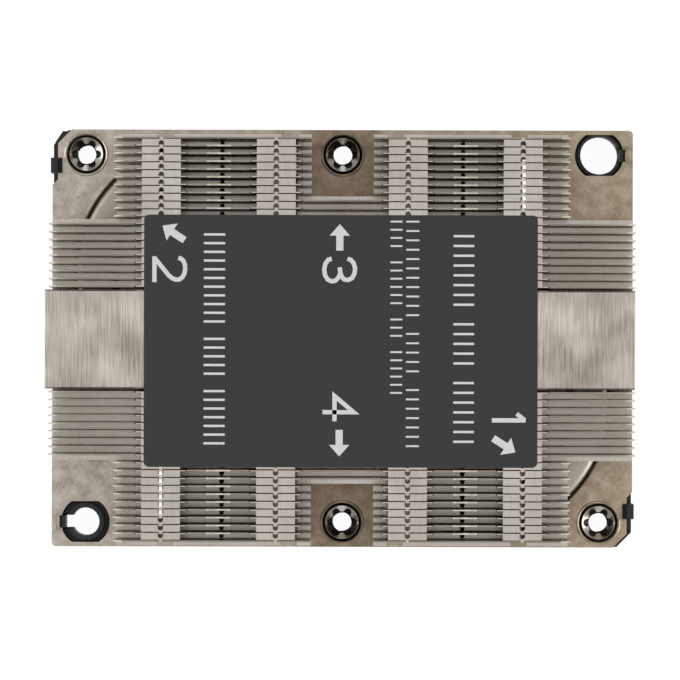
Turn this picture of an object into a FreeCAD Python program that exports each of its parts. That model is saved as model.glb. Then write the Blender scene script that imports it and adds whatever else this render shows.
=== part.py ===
"""Passive 1U processor heatsink for a large land-grid server socket, narrow frame.

A nickel-plated base plate carries two stacks of folded aluminium zipper fins, one each side of
a solid centre bar. Two flat heat pipes lie in grooves under the fins. Four captive nuts with
six-lobe sockets turn and lift in the plate, and a moulded processor carrier is clipped below.

Frame: X along the length, Y across the width, Z up, millimetres. The origin is the middle of
the contact face, the underside of the base plate that meets the processor.
"""
import FreeCAD, Part
import math
import os
import re

import Sketcher
from FreeCAD import Placement, Rotation, Vector

# ---------------------------------------------------------------- driving dimensions, in mm
# Webs in each stack, from the bar outwards
FULL_ROWS = 9
SHORT_ROWS = 3
SPLIT_ROWS = 7
OUTERMOST_ROWS = 1
ROWS = FULL_ROWS + SHORT_ROWS + SPLIT_ROWS + OUTERMOST_ROWS

# Sizes that drive the model
SIZES = {
    # Base plate
    "base_length": 108.0,
    "base_width": 77.6,
    "plate_gauge": 5.0,
    "contact_rise": 0.2,
    "corner_bevel": 0.5,
    "clip_notch_depth": 1.0,
    "clip_notch_run": 10.3,
    "corner_cut": 2.55,
    "light_slot_inset": 20.3,
    "light_slot_width": 3.2,
    "light_slot_length": 9.6,
    "light_slot_edge": 5.4,
    # Screw and guide grid
    "grid_inset_x": 6.25,
    "grid_inset_y": 4.6,
    "seat_bore": 7.5,
    "seat_depth": 2.8,
    "shank_hole": 6.1,
    "guide_hole": 9.1,
    "guide_hole_flats": 7.6,
    "catch_length": 0.85,
    "catch_width": 3.2,
    "catch_depth": 1.0,
    # Heat pipes
    "pipe_width": 8.0,
    "pipe_gauge": 3.0,
    "pipe_round": 0.9,
    "pipe_bend": 21.0,
    "pipe_inset_x": 4.1,
    "pipe_inset_y": 1.9,
    "outer_leg_finish": 7.4,
    "inner_leg_finish": 26.0,
    "groove_gap": 0.2,
    # Centre bar
    "bar_overhang": 0.5,
    "bar_width": 18.23,
    "bar_shift": -0.35,
    "bar_bevel": 0.3,
    "stack_shift": -0.3,
    # Zipper fins
    "fin_height": 20.5,
    "fin_gauge": 0.3,
    "seam_gap": 0.12,
    "bar_fin_gap": 0.43,
    "fin_edge": 0.515,
    "outermost_flange": 1.5,
    "fin_grid_gap": 5.75,
    "middle_gap": 11.6,
    "outer_strip_inset": 8.73,
    "strip_spacing": 21.14,
    "strip_width": 7.16,
    "lock_width": 0.86,
    "lock_depth": 1.0,
    "tongue_width": 0.66,
    "tongue_reach": 0.36,
    "crown_drop": 0.5,
    "shoulder_run": 1.3,
    "tip_slope_run": 1.6,
    "tip_slope_drop": 1.2,
    "inner_notch_inset": 2.27,
    "outer_notch_inset": 0.37,
    "flange_notch_width": 3.0,
    "flange_notch_depth": 0.95,
    # Captive nuts and retaining rings
    "head_clearance": 0.2,
    "head_height": 2.55,
    "seat_gap": 0.05,
    "shank_clearance": 0.15,
    "thread_core": 3.46,
    "socket_depth": 2.2,
    "core_reach": 2.25,
    "lobe_reach": 2.72,
    "lobe_root": 2.9,
    "lobe_tip": 0.9,
    "nut_recess": 0.3,
    "nut_lift": 1.0,
    "ring_gauge": 0.6,
    "ring_outer": 8.0,
    "ring_mouth_turn": 20.0,
    "neck_width": 4.9,
    "ring_clearance": 0.05,
    # Label
    "label_inset_x": 5.8,
    "label_inset_y": 15.6,
    "label_gauge": 0.18,
    "label_round": 1.0,
    "label_shift_x": -0.2,
    "label_shift_y": -0.58,
    # Processor carrier
    "carrier_inset_x": 0.3,
    "carrier_inset_y": 0.2,
    "carrier_height": 5.0,
    "carrier_skin": 1.8,
    "carrier_wall": 1.4,
    "upper_cut_x": 1.4,
    "upper_cut_y": 2.1,
    "lower_cut_x": 3.2,
    "lower_cut_y": 2.9,
    "window_inset_x": 15.1,
    "window_inset_y": 10.0,
    "contact_inset": 1.0,
    "finger_notch_width": 4.6,
    "finger_notch_depth": 5.2,
    "nut_well": 9.2,
    "trough_gap": 2.0,
    "side_trough_inset": 3.6,
    "collar_clearance": 0.2,
    "collar_step": 3.0,
    "collar_recess": 0.3,
    "wide_post_bore": 7.05,
    "wide_tube": 8.0,
    "narrow_post_bore": 5.2,
    "narrow_tube": 6.9,
    "latch_width": 2.3,
    "latch_gauge": 0.65,
    "latch_slit": 0.3,
    "latch_barb": 0.3,
    "latch_barb_height": 0.5,
    "hook_inset": 6.7,
    "hook_width": 2.8,
    "hook_reach": 0.6,
    "hook_lip": 0.8,
    "hook_gap": 0.1,
    "hook_lip_height": 1.2,
    "snap_width": 12.0,
    "snap_reach": 0.7,
    "snap_height": 1.0,
    "snap_lift": 0.4,
}

# Sizes that follow from them
LINKS = {
    # Base plate
    "rim_gauge": "plate_gauge - contact_rise",
    "clip_notch_start": "base_width / 2 - clip_notch_run",
    "light_slot_place": "base_length / 2 - light_slot_inset",
    "light_slot_finish": "base_width / 2 - light_slot_edge",
    "light_slot_start": "light_slot_finish - light_slot_length",
    # Screw and guide grid
    "grid_reach_x": "base_length / 2 - grid_inset_x",
    "grid_reach_y": "base_width / 2 - grid_inset_y",
    # Heat pipes
    "pipe_bend_place_x": "base_length / 2 - pipe_inset_x - pipe_bend - pipe_width / 2",
    "pipe_bend_place_y": "base_width / 2 - pipe_inset_y - pipe_bend - pipe_width / 2",
    # Centre bar
    "bar_length": "base_length + bar_overhang",
    # Zipper fins
    "fin_span": "base_width / 2 - fin_edge - bar_width / 2 - bar_fin_gap + seam_gap",
    "fin_pitch": "fin_span / %d" % ROWS,
    "full_fin_length": "base_length",
    "short_fin_length": "2 * (grid_reach_x - fin_grid_gap)",
    "outer_strip_place": "short_fin_length / 2 - outer_strip_inset",
    "inner_strip_place": "outer_strip_place - strip_spacing",
    "inner_notch_place": "inner_strip_place - inner_notch_inset",
    "outer_notch_place": "outer_strip_place - outer_notch_inset",
    # Label
    "label_length": "short_fin_length - 2 * label_inset_x",
    "label_width": "base_width - 2 * label_inset_y",
    # Processor carrier
    "carrier_length": "base_length - 2 * carrier_inset_x",
    "carrier_width": "base_width - 2 * carrier_inset_y",
    "window_length": "carrier_length - 2 * window_inset_x",
    "window_width": "carrier_width - 2 * window_inset_y",
    "side_trough_width": "window_width - 2 * side_trough_inset",
    "hook_place": "base_width / 2 - hook_inset",
}

LOBES = 6
RING_FLATS = 8
FULL_TURN = 360.0
HALF_TURN = 180.0
PAIR_COUNT = 2
SMALL = 0.001

DOCUMENT = FreeCAD.newDocument("ProcessorHeatsink")
SHEET = DOCUMENT.addObject("Spreadsheet::Sheet", "Sizes")
for row, (alias, size) in enumerate(SIZES.items(), start=1):
    SHEET.set("A%d" % row, alias)
    SHEET.set("B%d" % row, str(size))
    SHEET.setAlias("B%d" % row, alias)
DOCUMENT.recompute()

SUB_PARTS = []
WORD = re.compile(r"[a-z_]+")


# ---------------------------------------------------------------- sheet and sketch helpers
def sized(text):
    """Point every size named in an expression at its cell of the sheet."""
    def cell(word):
        """Cell of one size, or the expression that it follows from."""
        name = word.group()
        if name in LINKS:
            return "(%s)" % sized(LINKS[name])
        return "Sizes." + name if name in SIZES else name

    return WORD.sub(cell, text)


def number(text):
    """Value of an expression over the sizes."""
    return float(SHEET.evalExpression(sized(text)))


def bind(owner, **bindings):
    """Bind properties of an object to expressions; a double underscore stands for a dot."""
    for path, text in bindings.items():
        owner.setExpression(path.replace("__", "."), sized(text))


def new_body(name):
    """Body of one sub-part."""
    return DOCUMENT.addObject("PartDesign::Body", name)


def sketch_on(body, role, name, **offset):
    """Sketch on one of the body's origin planes, moved off it by the given expressions."""
    sketch = body.newObject("Sketcher::SketchObject", name)
    planes = {feature.Role: feature for feature in body.Origin.OriginFeatures}
    sketch.AttachmentSupport = (planes[role], [""])
    sketch.MapMode = "FlatFace"
    for axis, text in offset.items():
        sketch.setExpression("AttachmentOffset.Base." + axis, sized(text))
    return sketch


def hold(sketch, geometry, point, **place):
    """Hold a point of a sketch at an expression along X, Y or both."""
    for axis, text in place.items():
        held = sketch.addConstraint(
            Sketcher.Constraint("Distance" + axis.upper(), -1, 1, geometry, point, number(text))
        )
        sketch.setExpression("Constraints[%d]" % held, sized(text))


def arc_between(start, finish, centre, leftward):
    """Arc edge from start to finish about centre, turning left or right."""
    radius = math.hypot(start.x - centre.x, start.y - centre.y)
    first = math.atan2(start.y - centre.y, start.x - centre.x)
    last = math.atan2(finish.y - centre.y, finish.x - centre.x)
    if not leftward:
        first, last = last, first
    return Part.ArcOfCircle(Part.Circle(centre, Vector(0, 0, 1), radius), first, last)


def outline(sketch, steps):
    """Close a loop. A step is (x, y), or (x, y, centre_x, centre_y, turn) where an arc follows."""
    points = [Vector(number(step[0]), number(step[1]), 0) for step in steps]
    ends = []
    for index, step in enumerate(steps):
        start = points[index]
        finish = points[(index + 1) % len(points)]
        if len(step) == 2:
            edge = sketch.addGeometry(Part.LineSegment(start, finish), False)
            ends.append((edge, 1, 2))
            continue
        centre = Vector(number(step[2]), number(step[3]), 0)
        leftward = step[4] == "left"
        edge = sketch.addGeometry(arc_between(start, finish, centre, leftward), False)
        ends.append((edge, 1, 2) if leftward else (edge, 2, 1))
    for index, (edge, _, finish_point) in enumerate(ends):
        next_edge, next_start, _ = ends[(index + 1) % len(ends)]
        sketch.addConstraint(Sketcher.Constraint("Coincident", edge, finish_point, next_edge, next_start))
    for index, (edge, start_point, _) in enumerate(ends):
        step = steps[index]
        hold(sketch, edge, start_point, x=step[0], y=step[1])
        if len(step) > 2:
            chord = points[(index + 1) % len(points)] - points[index]
            upright = abs(chord.x) > abs(chord.y)
            hold(sketch, edge, 3, **({"y": step[3]} if upright else {"x": step[2]}))


def rectangle(sketch, low_x, low_y, high_x, high_y):
    """Rectangle between two corners."""
    outline(sketch, [(low_x, low_y), (high_x, low_y), (high_x, high_y), (low_x, high_y)])


def circle(sketch, centre_x, centre_y, diameter):
    """Circle by its centre and diameter."""
    middle = Vector(number(centre_x), number(centre_y), 0)
    edge = sketch.addGeometry(Part.Circle(middle, Vector(0, 0, 1), number(diameter) / 2), False)
    held = sketch.addConstraint(Sketcher.Constraint("Diameter", edge, number(diameter)))
    sketch.setExpression("Constraints[%d]" % held, sized(diameter))
    hold(sketch, edge, 3, x=centre_x, y=centre_y)


def double_d(sketch, centre_x, centre_y, diameter, flats):
    """Circle flattened on its two Y sides."""
    half_chord = "sqrt((%s)^2 - (%s)^2) / 2" % (diameter, flats)
    left = "%s - %s" % (centre_x, half_chord)
    right = "%s + %s" % (centre_x, half_chord)
    low = "%s - (%s) / 2" % (centre_y, flats)
    high = "%s + (%s) / 2" % (centre_y, flats)
    outline(sketch, [
        (left, low),
        (right, low, centre_x, centre_y, "left"),
        (right, high),
        (left, high, centre_x, centre_y, "left"),
    ])


# ---------------------------------------------------------------- feature helpers
def pad(body, sketch, length, both_ways=False, downward=False):
    """Add a sketch's prism to the body."""
    feature = body.newObject("PartDesign::Pad", sketch.Name + "_pad")
    feature.Profile = sketch
    feature.SideType = "Symmetric" if both_ways else "One side"
    feature.Reversed = downward
    bind(feature, Length=length)
    DOCUMENT.recompute()
    return feature


def cut_shape(body, feature):
    """Make sure that a cutting feature has taken material away."""
    before = body.Tip.BaseFeature.Shape.Volume
    DOCUMENT.recompute()
    if not body.Tip.Shape.Volume < before - SMALL:
        raise RuntimeError("%s takes nothing away" % feature.Name)
    return feature


def pocket(body, sketch, depth=None, upward=False, both_ways=False):
    """Cut a sketch's prism from the body, to a depth or through all of it."""
    feature = body.newObject("PartDesign::Pocket", sketch.Name + "_pocket")
    feature.Profile = sketch
    feature.Reversed = upward
    if both_ways:
        feature.SideType = "Symmetric"
    if depth is None:
        feature.Type = "ThroughAll"
    else:
        feature.Type = "Length"
        bind(feature, Length=depth)
    return cut_shape(body, feature)


def turned_pair(body, feature):
    """Repeat a feature half a turn round Z."""
    axes = {origin.Role: origin for origin in body.Origin.OriginFeatures}
    pattern = body.newObject("PartDesign::PolarPattern", feature.Name + "_pair")
    pattern.Originals = [feature]
    pattern.Axis = (axes["Z_Axis"], [""])
    pattern.Angle = FULL_TURN
    pattern.Occurrences = PAIR_COUNT
    body.Tip = pattern
    DOCUMENT.recompute()
    return pattern


def keep(body, turned=False, **place):
    """Place a finished sub-part and list it for writing."""
    angle = HALF_TURN if turned else 0.0
    body.Placement = Placement(Vector(0, 0, 0), Rotation(Vector(0, 0, 1), angle))
    for axis, text in place.items():
        body.setExpression("Placement.Base." + axis, sized(text))
    SUB_PARTS.append(body)
    return body


def twin(pattern, name):
    """Another body of the same shape as a pattern body."""
    copy = new_body(name)
    base = copy.newObject("PartDesign::FeatureBase", name + "_base")
    base.BaseFeature = pattern
    copy.Tip = base
    return copy


def signed(sign, text):
    """Expression with a sign in front."""
    return "%d * (%s)" % (sign, text)


# ---------------------------------------------------------------- base plate
def pipe_outline(sketch, gap):
    """Outline in plan of the upper left pipe, grown by a gap."""
    centre_x = "-pipe_bend_place_x"
    centre_y = "pipe_bend_place_y"
    outside = "(pipe_bend + pipe_width / 2 + %s)" % gap
    inside = "(pipe_bend - pipe_width / 2 - %s)" % gap
    upper_finish = "-outer_leg_finish + %s" % gap
    lower_finish = "inner_leg_finish + %s" % gap
    outline(sketch, [
        (upper_finish, "%s + %s" % (centre_y, outside)),
        (centre_x, "%s + %s" % (centre_y, outside), centre_x, centre_y, "left"),
        (centre_x, "%s - %s" % (centre_y, outside)),
        (lower_finish, "%s - %s" % (centre_y, outside)),
        (lower_finish, "%s - %s" % (centre_y, inside)),
        (centre_x, "%s - %s" % (centre_y, inside), centre_x, centre_y, "right"),
        (centre_x, "%s + %s" % (centre_y, inside)),
        (upper_finish, "%s + %s" % (centre_y, inside)),
    ])


def nut_places():
    """Expressions of the four nut positions: both middle ones and two opposite corners."""
    return [
        ("-grid_reach_x", "grid_reach_y"),
        ("0 * grid_reach_x", "grid_reach_y"),
        ("0 * grid_reach_x", "-grid_reach_y"),
        ("grid_reach_x", "-grid_reach_y"),
    ]


def half_plate_outline():
    """Left side of the plate, from the lower corner to the clip corner above it."""
    edge = "base_length / 2"
    notch = "(base_length / 2 - clip_notch_depth)"
    side = "base_width / 2"
    return [
        ("-(%s) + corner_bevel" % edge, "-(%s)" % side),
        ("-(%s)" % edge, "-(%s) + corner_bevel" % side),
        ("-(%s)" % edge, "clip_notch_start"),
        ("-%s" % notch, "clip_notch_start + clip_notch_depth"),
        ("-%s" % notch, "%s - corner_cut" % side),
        ("-%s + corner_cut" % notch, side),
    ]


def build_base_plate():
    """Plate with pipe grooves, nut seats, guide holes with latch ledges, and light slots."""
    body = new_body("base_plate")
    left_side = half_plate_outline()
    right_side = [("-(%s)" % x, "-(%s)" % y) for x, y in left_side]
    sketch = sketch_on(body, "XY_Plane", "plate_outline", z="contact_rise")
    outline(sketch, left_side + right_side)
    pad(body, sketch, "rim_gauge")
    sketch = sketch_on(body, "XY_Plane", "contact_pad")
    half_x = "(window_length / 2 - contact_inset)"
    half_y = "(window_width / 2 - contact_inset)"
    rectangle(sketch, "-" + half_x, "-" + half_y, half_x, half_y)
    pad(body, sketch, "contact_rise")

    sketch = sketch_on(body, "XY_Plane", "pipe_groove", z="plate_gauge")
    pipe_outline(sketch, "groove_gap")
    turned_pair(body, pocket(body, sketch, "pipe_gauge"))

    sketch = sketch_on(body, "XY_Plane", "nut_seat", z="plate_gauge")
    for place in nut_places():
        circle(sketch, *place, "seat_bore")
    pocket(body, sketch, "seat_depth")
    sketch = sketch_on(body, "XY_Plane", "nut_shank_hole", z="plate_gauge")
    for place in nut_places():
        circle(sketch, *place, "shank_hole")
    pocket(body, sketch)

    sketch = sketch_on(body, "XY_Plane", "guide_post_hole", z="plate_gauge")
    for sign in (1, -1):
        place = signed(sign, "grid_reach_x"), signed(sign, "grid_reach_y")
        double_d(sketch, *place, "guide_hole", "guide_hole_flats")
    pocket(body, sketch)
    sketch = sketch_on(body, "XY_Plane", "latch_ledge", z="plate_gauge")
    rectangle(sketch, "grid_reach_x", "grid_reach_y - catch_width / 2",
              "grid_reach_x + guide_hole / 2 + catch_length", "grid_reach_y + catch_width / 2")
    turned_pair(body, pocket(body, sketch, "catch_depth"))

    sketch = sketch_on(body, "XY_Plane", "light_slot", z="plate_gauge")
    rectangle(sketch, "light_slot_place - light_slot_width / 2", "light_slot_start",
              "light_slot_place + light_slot_width / 2", "light_slot_finish")
    turned_pair(body, pocket(body, sketch))
    keep(body)


# ---------------------------------------------------------------- heat pipes
def build_heat_pipes():
    """Two flattened pipes, bent to a U, whose inner legs cross the processor."""
    body = new_body("heat_pipe_1")
    path = sketch_on(body, "XY_Plane", "pipe_path", z="plate_gauge - pipe_gauge / 2")
    centre = Vector(number("-pipe_bend_place_x"), number("pipe_bend_place_y"), 0)
    upper = Vector(0, number("pipe_bend"), 0)
    outer_end = Vector(number("-outer_leg_finish"), centre.y + upper.y, 0)
    inner_end = Vector(number("inner_leg_finish"), centre.y - upper.y, 0)
    outer_leg = path.addGeometry(Part.LineSegment(outer_end, centre + upper), False)
    bend = path.addGeometry(arc_between(centre + upper, centre - upper, centre, True), False)
    inner_leg = path.addGeometry(Part.LineSegment(centre - upper, inner_end), False)
    path.addConstraint(Sketcher.Constraint("Coincident", outer_leg, 2, bend, 1))
    path.addConstraint(Sketcher.Constraint("Coincident", bend, 2, inner_leg, 1))
    hold(path, outer_leg, 1, x="-outer_leg_finish", y="pipe_bend_place_y + pipe_bend")
    hold(path, bend, 1, x="-pipe_bend_place_x", y="pipe_bend_place_y + pipe_bend")
    hold(path, inner_leg, 1, x="-pipe_bend_place_x", y="pipe_bend_place_y - pipe_bend")
    hold(path, inner_leg, 2, x="inner_leg_finish", y="pipe_bend_place_y - pipe_bend")
    hold(path, bend, 3, x="-pipe_bend_place_x")

    section = sketch_on(body, "YZ_Plane", "pipe_section", x="pipe_bend_place_y + pipe_bend",
                        y="plate_gauge - pipe_gauge / 2", z="-outer_leg_finish")
    outline(section, [
        ("pipe_width / 2", "-pipe_gauge / 2"),
        ("pipe_width / 2", "pipe_gauge / 2 - pipe_round"),
        ("pipe_width / 2 - pipe_round", "pipe_gauge / 2"),
        ("pipe_round - pipe_width / 2", "pipe_gauge / 2"),
        ("-pipe_width / 2", "pipe_gauge / 2 - pipe_round"),
        ("-pipe_width / 2", "-pipe_gauge / 2"),
    ])
    DOCUMENT.recompute()
    pipe = body.newObject("PartDesign::AdditivePipe", "pipe_sweep")
    pipe.Profile = section
    pipe.Spine = (path, ["Edge1", "Edge2", "Edge3"])
    DOCUMENT.recompute()
    keep(body)
    second = twin(body, "heat_pipe_2")
    keep(second, turned=True)


# ---------------------------------------------------------------- centre bar
def build_centre_bar():
    """Solid bar between the fin stacks, level with the fin tops."""
    body = new_body("centre_bar")
    sketch = sketch_on(body, "YZ_Plane", "bar_section")
    half = "bar_width / 2"
    outline(sketch, [
        ("-(%s)" % half, "0 * fin_height"),
        (half, "0 * fin_height"),
        (half, "fin_height - bar_bevel"),
        ("%s - bar_bevel" % half, "fin_height"),
        ("-(%s) + bar_bevel" % half, "fin_height"),
        ("-(%s)" % half, "fin_height - bar_bevel"),
    ])
    pad(body, sketch, "bar_length", both_ways=True)
    keep(body, x="bar_shift", y="stack_shift", z="plate_gauge")


# ---------------------------------------------------------------- zipper fins
FLANGE = "(fin_pitch - seam_gap)"


def strip_places():
    """Middles of the four rows of top tabs, from left to right."""
    return ["-outer_strip_place", "-inner_strip_place", "inner_strip_place", "outer_strip_place"]


def fin_section(sketch, flange, crowned):
    """Folded section: web on the inner side, flanges outwards at the foot and at the crown."""
    steps = [
        ("0 * fin_gauge", "0 * fin_gauge"),
        (flange, "0 * fin_gauge"),
        (flange, "fin_gauge"),
        ("fin_gauge", "fin_gauge"),
    ]
    if crowned:
        steps += [
            ("fin_gauge", "fin_height - fin_gauge"),
            (flange, "fin_height - fin_gauge"),
            (flange, "fin_height"),
            ("0 * fin_gauge", "fin_height"),
        ]
    else:
        steps += [
            ("fin_gauge", "fin_height"),
            ("0 * fin_gauge", "fin_height"),
        ]
    outline(sketch, steps)


def open_crown(sketch, half_length, crowned, roofed):
    """Stretches of the crown without tabs, with sloped shoulders, and the sloped fin ends."""
    high = "fin_height + crown_drop"
    low = "fin_height - crown_drop" if crowned else "fin_height"
    tip_low = "fin_height - tip_slope_drop"
    half_strip = "strip_width / 2"
    if crowned and not roofed:
        for left_tab, right_tab in zip(strip_places()[:-1], strip_places()[1:]):
            left = "%s + %s" % (left_tab, half_strip)
            right = "%s - %s" % (right_tab, half_strip)
            outline(sketch, [
                ("%s + shoulder_run" % left, low),
                ("%s - shoulder_run" % right, low),
                ("%s + shoulder_run" % right, high),
                ("%s - shoulder_run" % left, high),
            ])
    last_edge = "outer_strip_place + %s" % half_strip
    beyond = "%s + fin_gauge" % half_length
    for sign in (-1, 1):
        tip = [
            (beyond, high),
            (beyond, tip_low),
            (half_length, tip_low),
            ("%s - tip_slope_run" % half_length, low),
        ]
        if crowned:
            tip += [("%s + shoulder_run" % last_edge, low), ("%s - shoulder_run" % last_edge, high)]
        else:
            tip += [("%s - tip_slope_run" % half_length, high)]
        outline(sketch, [(signed(sign, x), y) for x, y in tip])


def fin_pattern(name, length, foot_notches, split=False, crowned=True, roofed=False):
    """Shape of one folded fin, its foot on Z zero and the back of its web on Y zero."""
    body = new_body(name)
    half_length = "%s / 2" % length
    flange = FLANGE if crowned else "outermost_flange"
    sketch = sketch_on(body, "YZ_Plane", name + "_section")
    fin_section(sketch, flange, crowned)
    pad(body, sketch, length, both_ways=True)

    sketch = sketch_on(body, "XZ_Plane", name + "_crown")
    open_crown(sketch, half_length, crowned, roofed)
    pocket(body, sketch, both_ways=True)

    sketch = sketch_on(body, "XY_Plane", name + "_foot")
    for place in foot_notches:
        rectangle(sketch, "%s - flange_notch_width / 2" % place, "%s - flange_notch_depth" % flange,
                  "%s + flange_notch_width / 2" % place, "%s + seam_gap" % flange)
    if foot_notches:
        pocket(body, sketch, "fin_gauge", upward=True)

    if not roofed:
        add_locks(body, name, crowned)
    if split:
        sketch = sketch_on(body, "XZ_Plane", name + "_middle")
        rectangle(sketch, "-middle_gap / 2", "-fin_gauge", "middle_gap / 2", "fin_height + fin_gauge")
        pocket(body, sketch, both_ways=True)
    return body


def add_locks(body, name, crowned):
    """Zipper locks: windows at the crown, and the tongues that enter the next fin's windows."""
    sketch = sketch_on(body, "XY_Plane", name + "_windows", z="fin_height")
    for place in strip_places():
        rectangle(sketch, "%s - lock_width / 2" % place, "-seam_gap",
                  "%s + lock_width / 2" % place, "lock_depth")
    pocket(body, sketch, "fin_gauge")
    if not crowned:
        return
    sketch = sketch_on(body, "XY_Plane", name + "_tongues", z="fin_height")
    for place in strip_places():
        rectangle(sketch, "%s - tongue_width / 2" % place, "%s - seam_gap" % FLANGE,
                  "%s + tongue_width / 2" % place, "%s + seam_gap + tongue_reach" % FLANGE)
    pad(body, sketch, "fin_gauge", downward=True)


def build_fins():
    """Two stacks of fins, numbered from the bar outwards."""
    over_slot = ["outer_notch_place"]
    all_notches = ["-outer_notch_place", "-inner_notch_place", "inner_notch_place", "outer_notch_place"]
    full = fin_pattern("full_fin", "full_fin_length", [], roofed=True)
    short = fin_pattern("short_fin", "short_fin_length", over_slot)
    divided = fin_pattern("divided_fin", "short_fin_length", over_slot, split=True)
    outermost = fin_pattern("outermost_fin", "short_fin_length", all_notches, split=True, crowned=False)
    rows = [full] * FULL_ROWS + [short] * SHORT_ROWS + [divided] * SPLIT_ROWS
    rows += [outermost] * OUTERMOST_ROWS
    for stack, sign in (("upper", 1), ("lower", -1)):
        for row, pattern in enumerate(rows):
            fin = twin(pattern, "fin_%s_%02d" % (stack, row + 1))
            reach = "bar_width / 2 + bar_fin_gap + %d * fin_pitch" % row
            keep(fin, turned=sign < 0, y="stack_shift + %s" % signed(sign, reach), z="plate_gauge")


# ---------------------------------------------------------------- captive nuts and rings
UNDER_SEAT = "(rim_gauge - seat_depth)"
NUT_LIFT_OFF = "(plate_gauge - seat_depth + seat_gap)"


def build_nut_pattern():
    """Captive nut, its head's underside on Z zero: six-lobe socket above, bored for a fine thread."""
    body = new_body("nut_shape")
    head = "(seat_bore / 2 - head_clearance)"
    shank = "(shank_hole / 2 - shank_clearance)"
    core = "thread_core / 2"
    foot = "-(%s + seat_gap + carrier_height - nut_recess)" % UNDER_SEAT
    shoulder = "-(%s + seat_gap + nut_lift - ring_clearance)" % UNDER_SEAT
    sketch = sketch_on(body, "XZ_Plane", "nut_section")
    outline(sketch, [
        (core, foot),
        ("neck_width / 2", foot),
        ("neck_width / 2", shoulder),
        (shank, shoulder),
        (shank, "0 * head_height"),
        (head, "0 * head_height"),
        (head, "head_height"),
        (core, "head_height"),
    ])
    axes = {origin.Role: origin for origin in body.Origin.OriginFeatures}
    turning = body.newObject("PartDesign::Revolution", "nut_turning")
    turning.Profile = sketch
    turning.ReferenceAxis = (axes["Z_Axis"], [""])
    turning.Angle = FULL_TURN
    DOCUMENT.recompute()

    sketch = sketch_on(body, "XY_Plane", "socket_core", z="head_height")
    turns = ["%d deg" % (FULL_TURN * count / LOBES) for count in range(LOBES)]
    outline(sketch, [("core_reach * cos(%s)" % turn, "core_reach * sin(%s)" % turn) for turn in turns])
    pocket(body, sketch, "socket_depth")
    sketch = sketch_on(body, "XY_Plane", "socket_lobe", z="head_height")
    outline(sketch, [
        ("0 * lobe_reach", "-lobe_root / 2"),
        ("lobe_reach", "-lobe_tip / 2"),
        ("lobe_reach", "lobe_tip / 2"),
        ("0 * lobe_reach", "lobe_root / 2"),
    ])
    lobe = pocket(body, sketch, "socket_depth")
    pattern = body.newObject("PartDesign::PolarPattern", "socket_lobes")
    pattern.Originals = [lobe]
    pattern.Axis = (axes["Z_Axis"], [""])
    pattern.Angle = FULL_TURN
    pattern.Occurrences = LOBES
    body.Tip = pattern
    DOCUMENT.recompute()
    return body


def build_ring_pattern():
    """Open retaining ring, its upper face on Z zero."""
    body = new_body("ring_shape")
    step = "(360 deg - 2 * ring_mouth_turn * 1 deg) / %d" % RING_FLATS
    outer = "ring_outer / 2"
    inner = "(neck_width / 2 + ring_clearance) / cos(%s / 2)" % step
    turns = ["ring_mouth_turn * 1 deg + %d * %s" % (count, step) for count in range(RING_FLATS + 1)]
    sketch = sketch_on(body, "XY_Plane", "ring_outline")
    corners = [(outer, turn) for turn in turns] + [(inner, turn) for turn in reversed(turns)]
    outline(sketch, [("%s * cos(%s)" % corner, "%s * sin(%s)" % corner) for corner in corners])
    pad(body, sketch, "ring_gauge", downward=True)
    return body


def build_fasteners():
    """Four nuts on their seats, each with its ring below the plate."""
    nut_shape = build_nut_pattern()
    ring_shape = build_ring_pattern()
    for count, (place_x, place_y) in enumerate(nut_places(), start=1):
        nut = twin(nut_shape, "captive_nut_%d" % count)
        keep(nut, x=place_x, y=place_y, z=NUT_LIFT_OFF)
        ring = twin(ring_shape, "retaining_ring_%d" % count)
        keep(ring, x=place_x, y=place_y, z="contact_rise - nut_lift")


# ---------------------------------------------------------------- label
def build_label():
    """Printed film on top of the bar and the tabs."""
    body = new_body("label")
    half_x = "(label_length / 2)"
    half_y = "(label_width / 2)"
    sketch = sketch_on(body, "XY_Plane", "label_outline")
    steps = []
    for sign_x, sign_y in ((1, -1), (1, 1), (-1, 1), (-1, -1)):
        corner = (signed(sign_x, half_x), signed(sign_y, half_y))
        inner = (signed(sign_x, half_x + " - label_round"), signed(sign_y, half_y + " - label_round"))
        before = (inner[0], corner[1]) if sign_x * sign_y < 0 else (corner[0], inner[1])
        after = (corner[0], inner[1]) if sign_x * sign_y < 0 else (inner[0], corner[1])
        steps.append(before + inner + ("left",))
        steps.append(after)
    outline(sketch, steps)
    pad(body, sketch, "label_gauge")
    keep(body, x="label_shift_x", y="label_shift_y", z="plate_gauge + fin_height")


# ---------------------------------------------------------------- processor carrier
def half_carrier_outline(cut_x, cut_y):
    """One side of the carrier, from a plain corner to the cut corner above it."""
    side_x = "carrier_length / 2"
    side_y = "carrier_width / 2"
    return [
        ("-(%s) + corner_bevel" % side_x, "-(%s)" % side_y),
        ("-(%s)" % side_x, "-(%s) + corner_bevel" % side_y),
        ("-(%s)" % side_x, "%s - %s" % (side_y, cut_y)),
        ("-(%s) + %s" % (side_x, cut_x), side_y),
    ]


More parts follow.
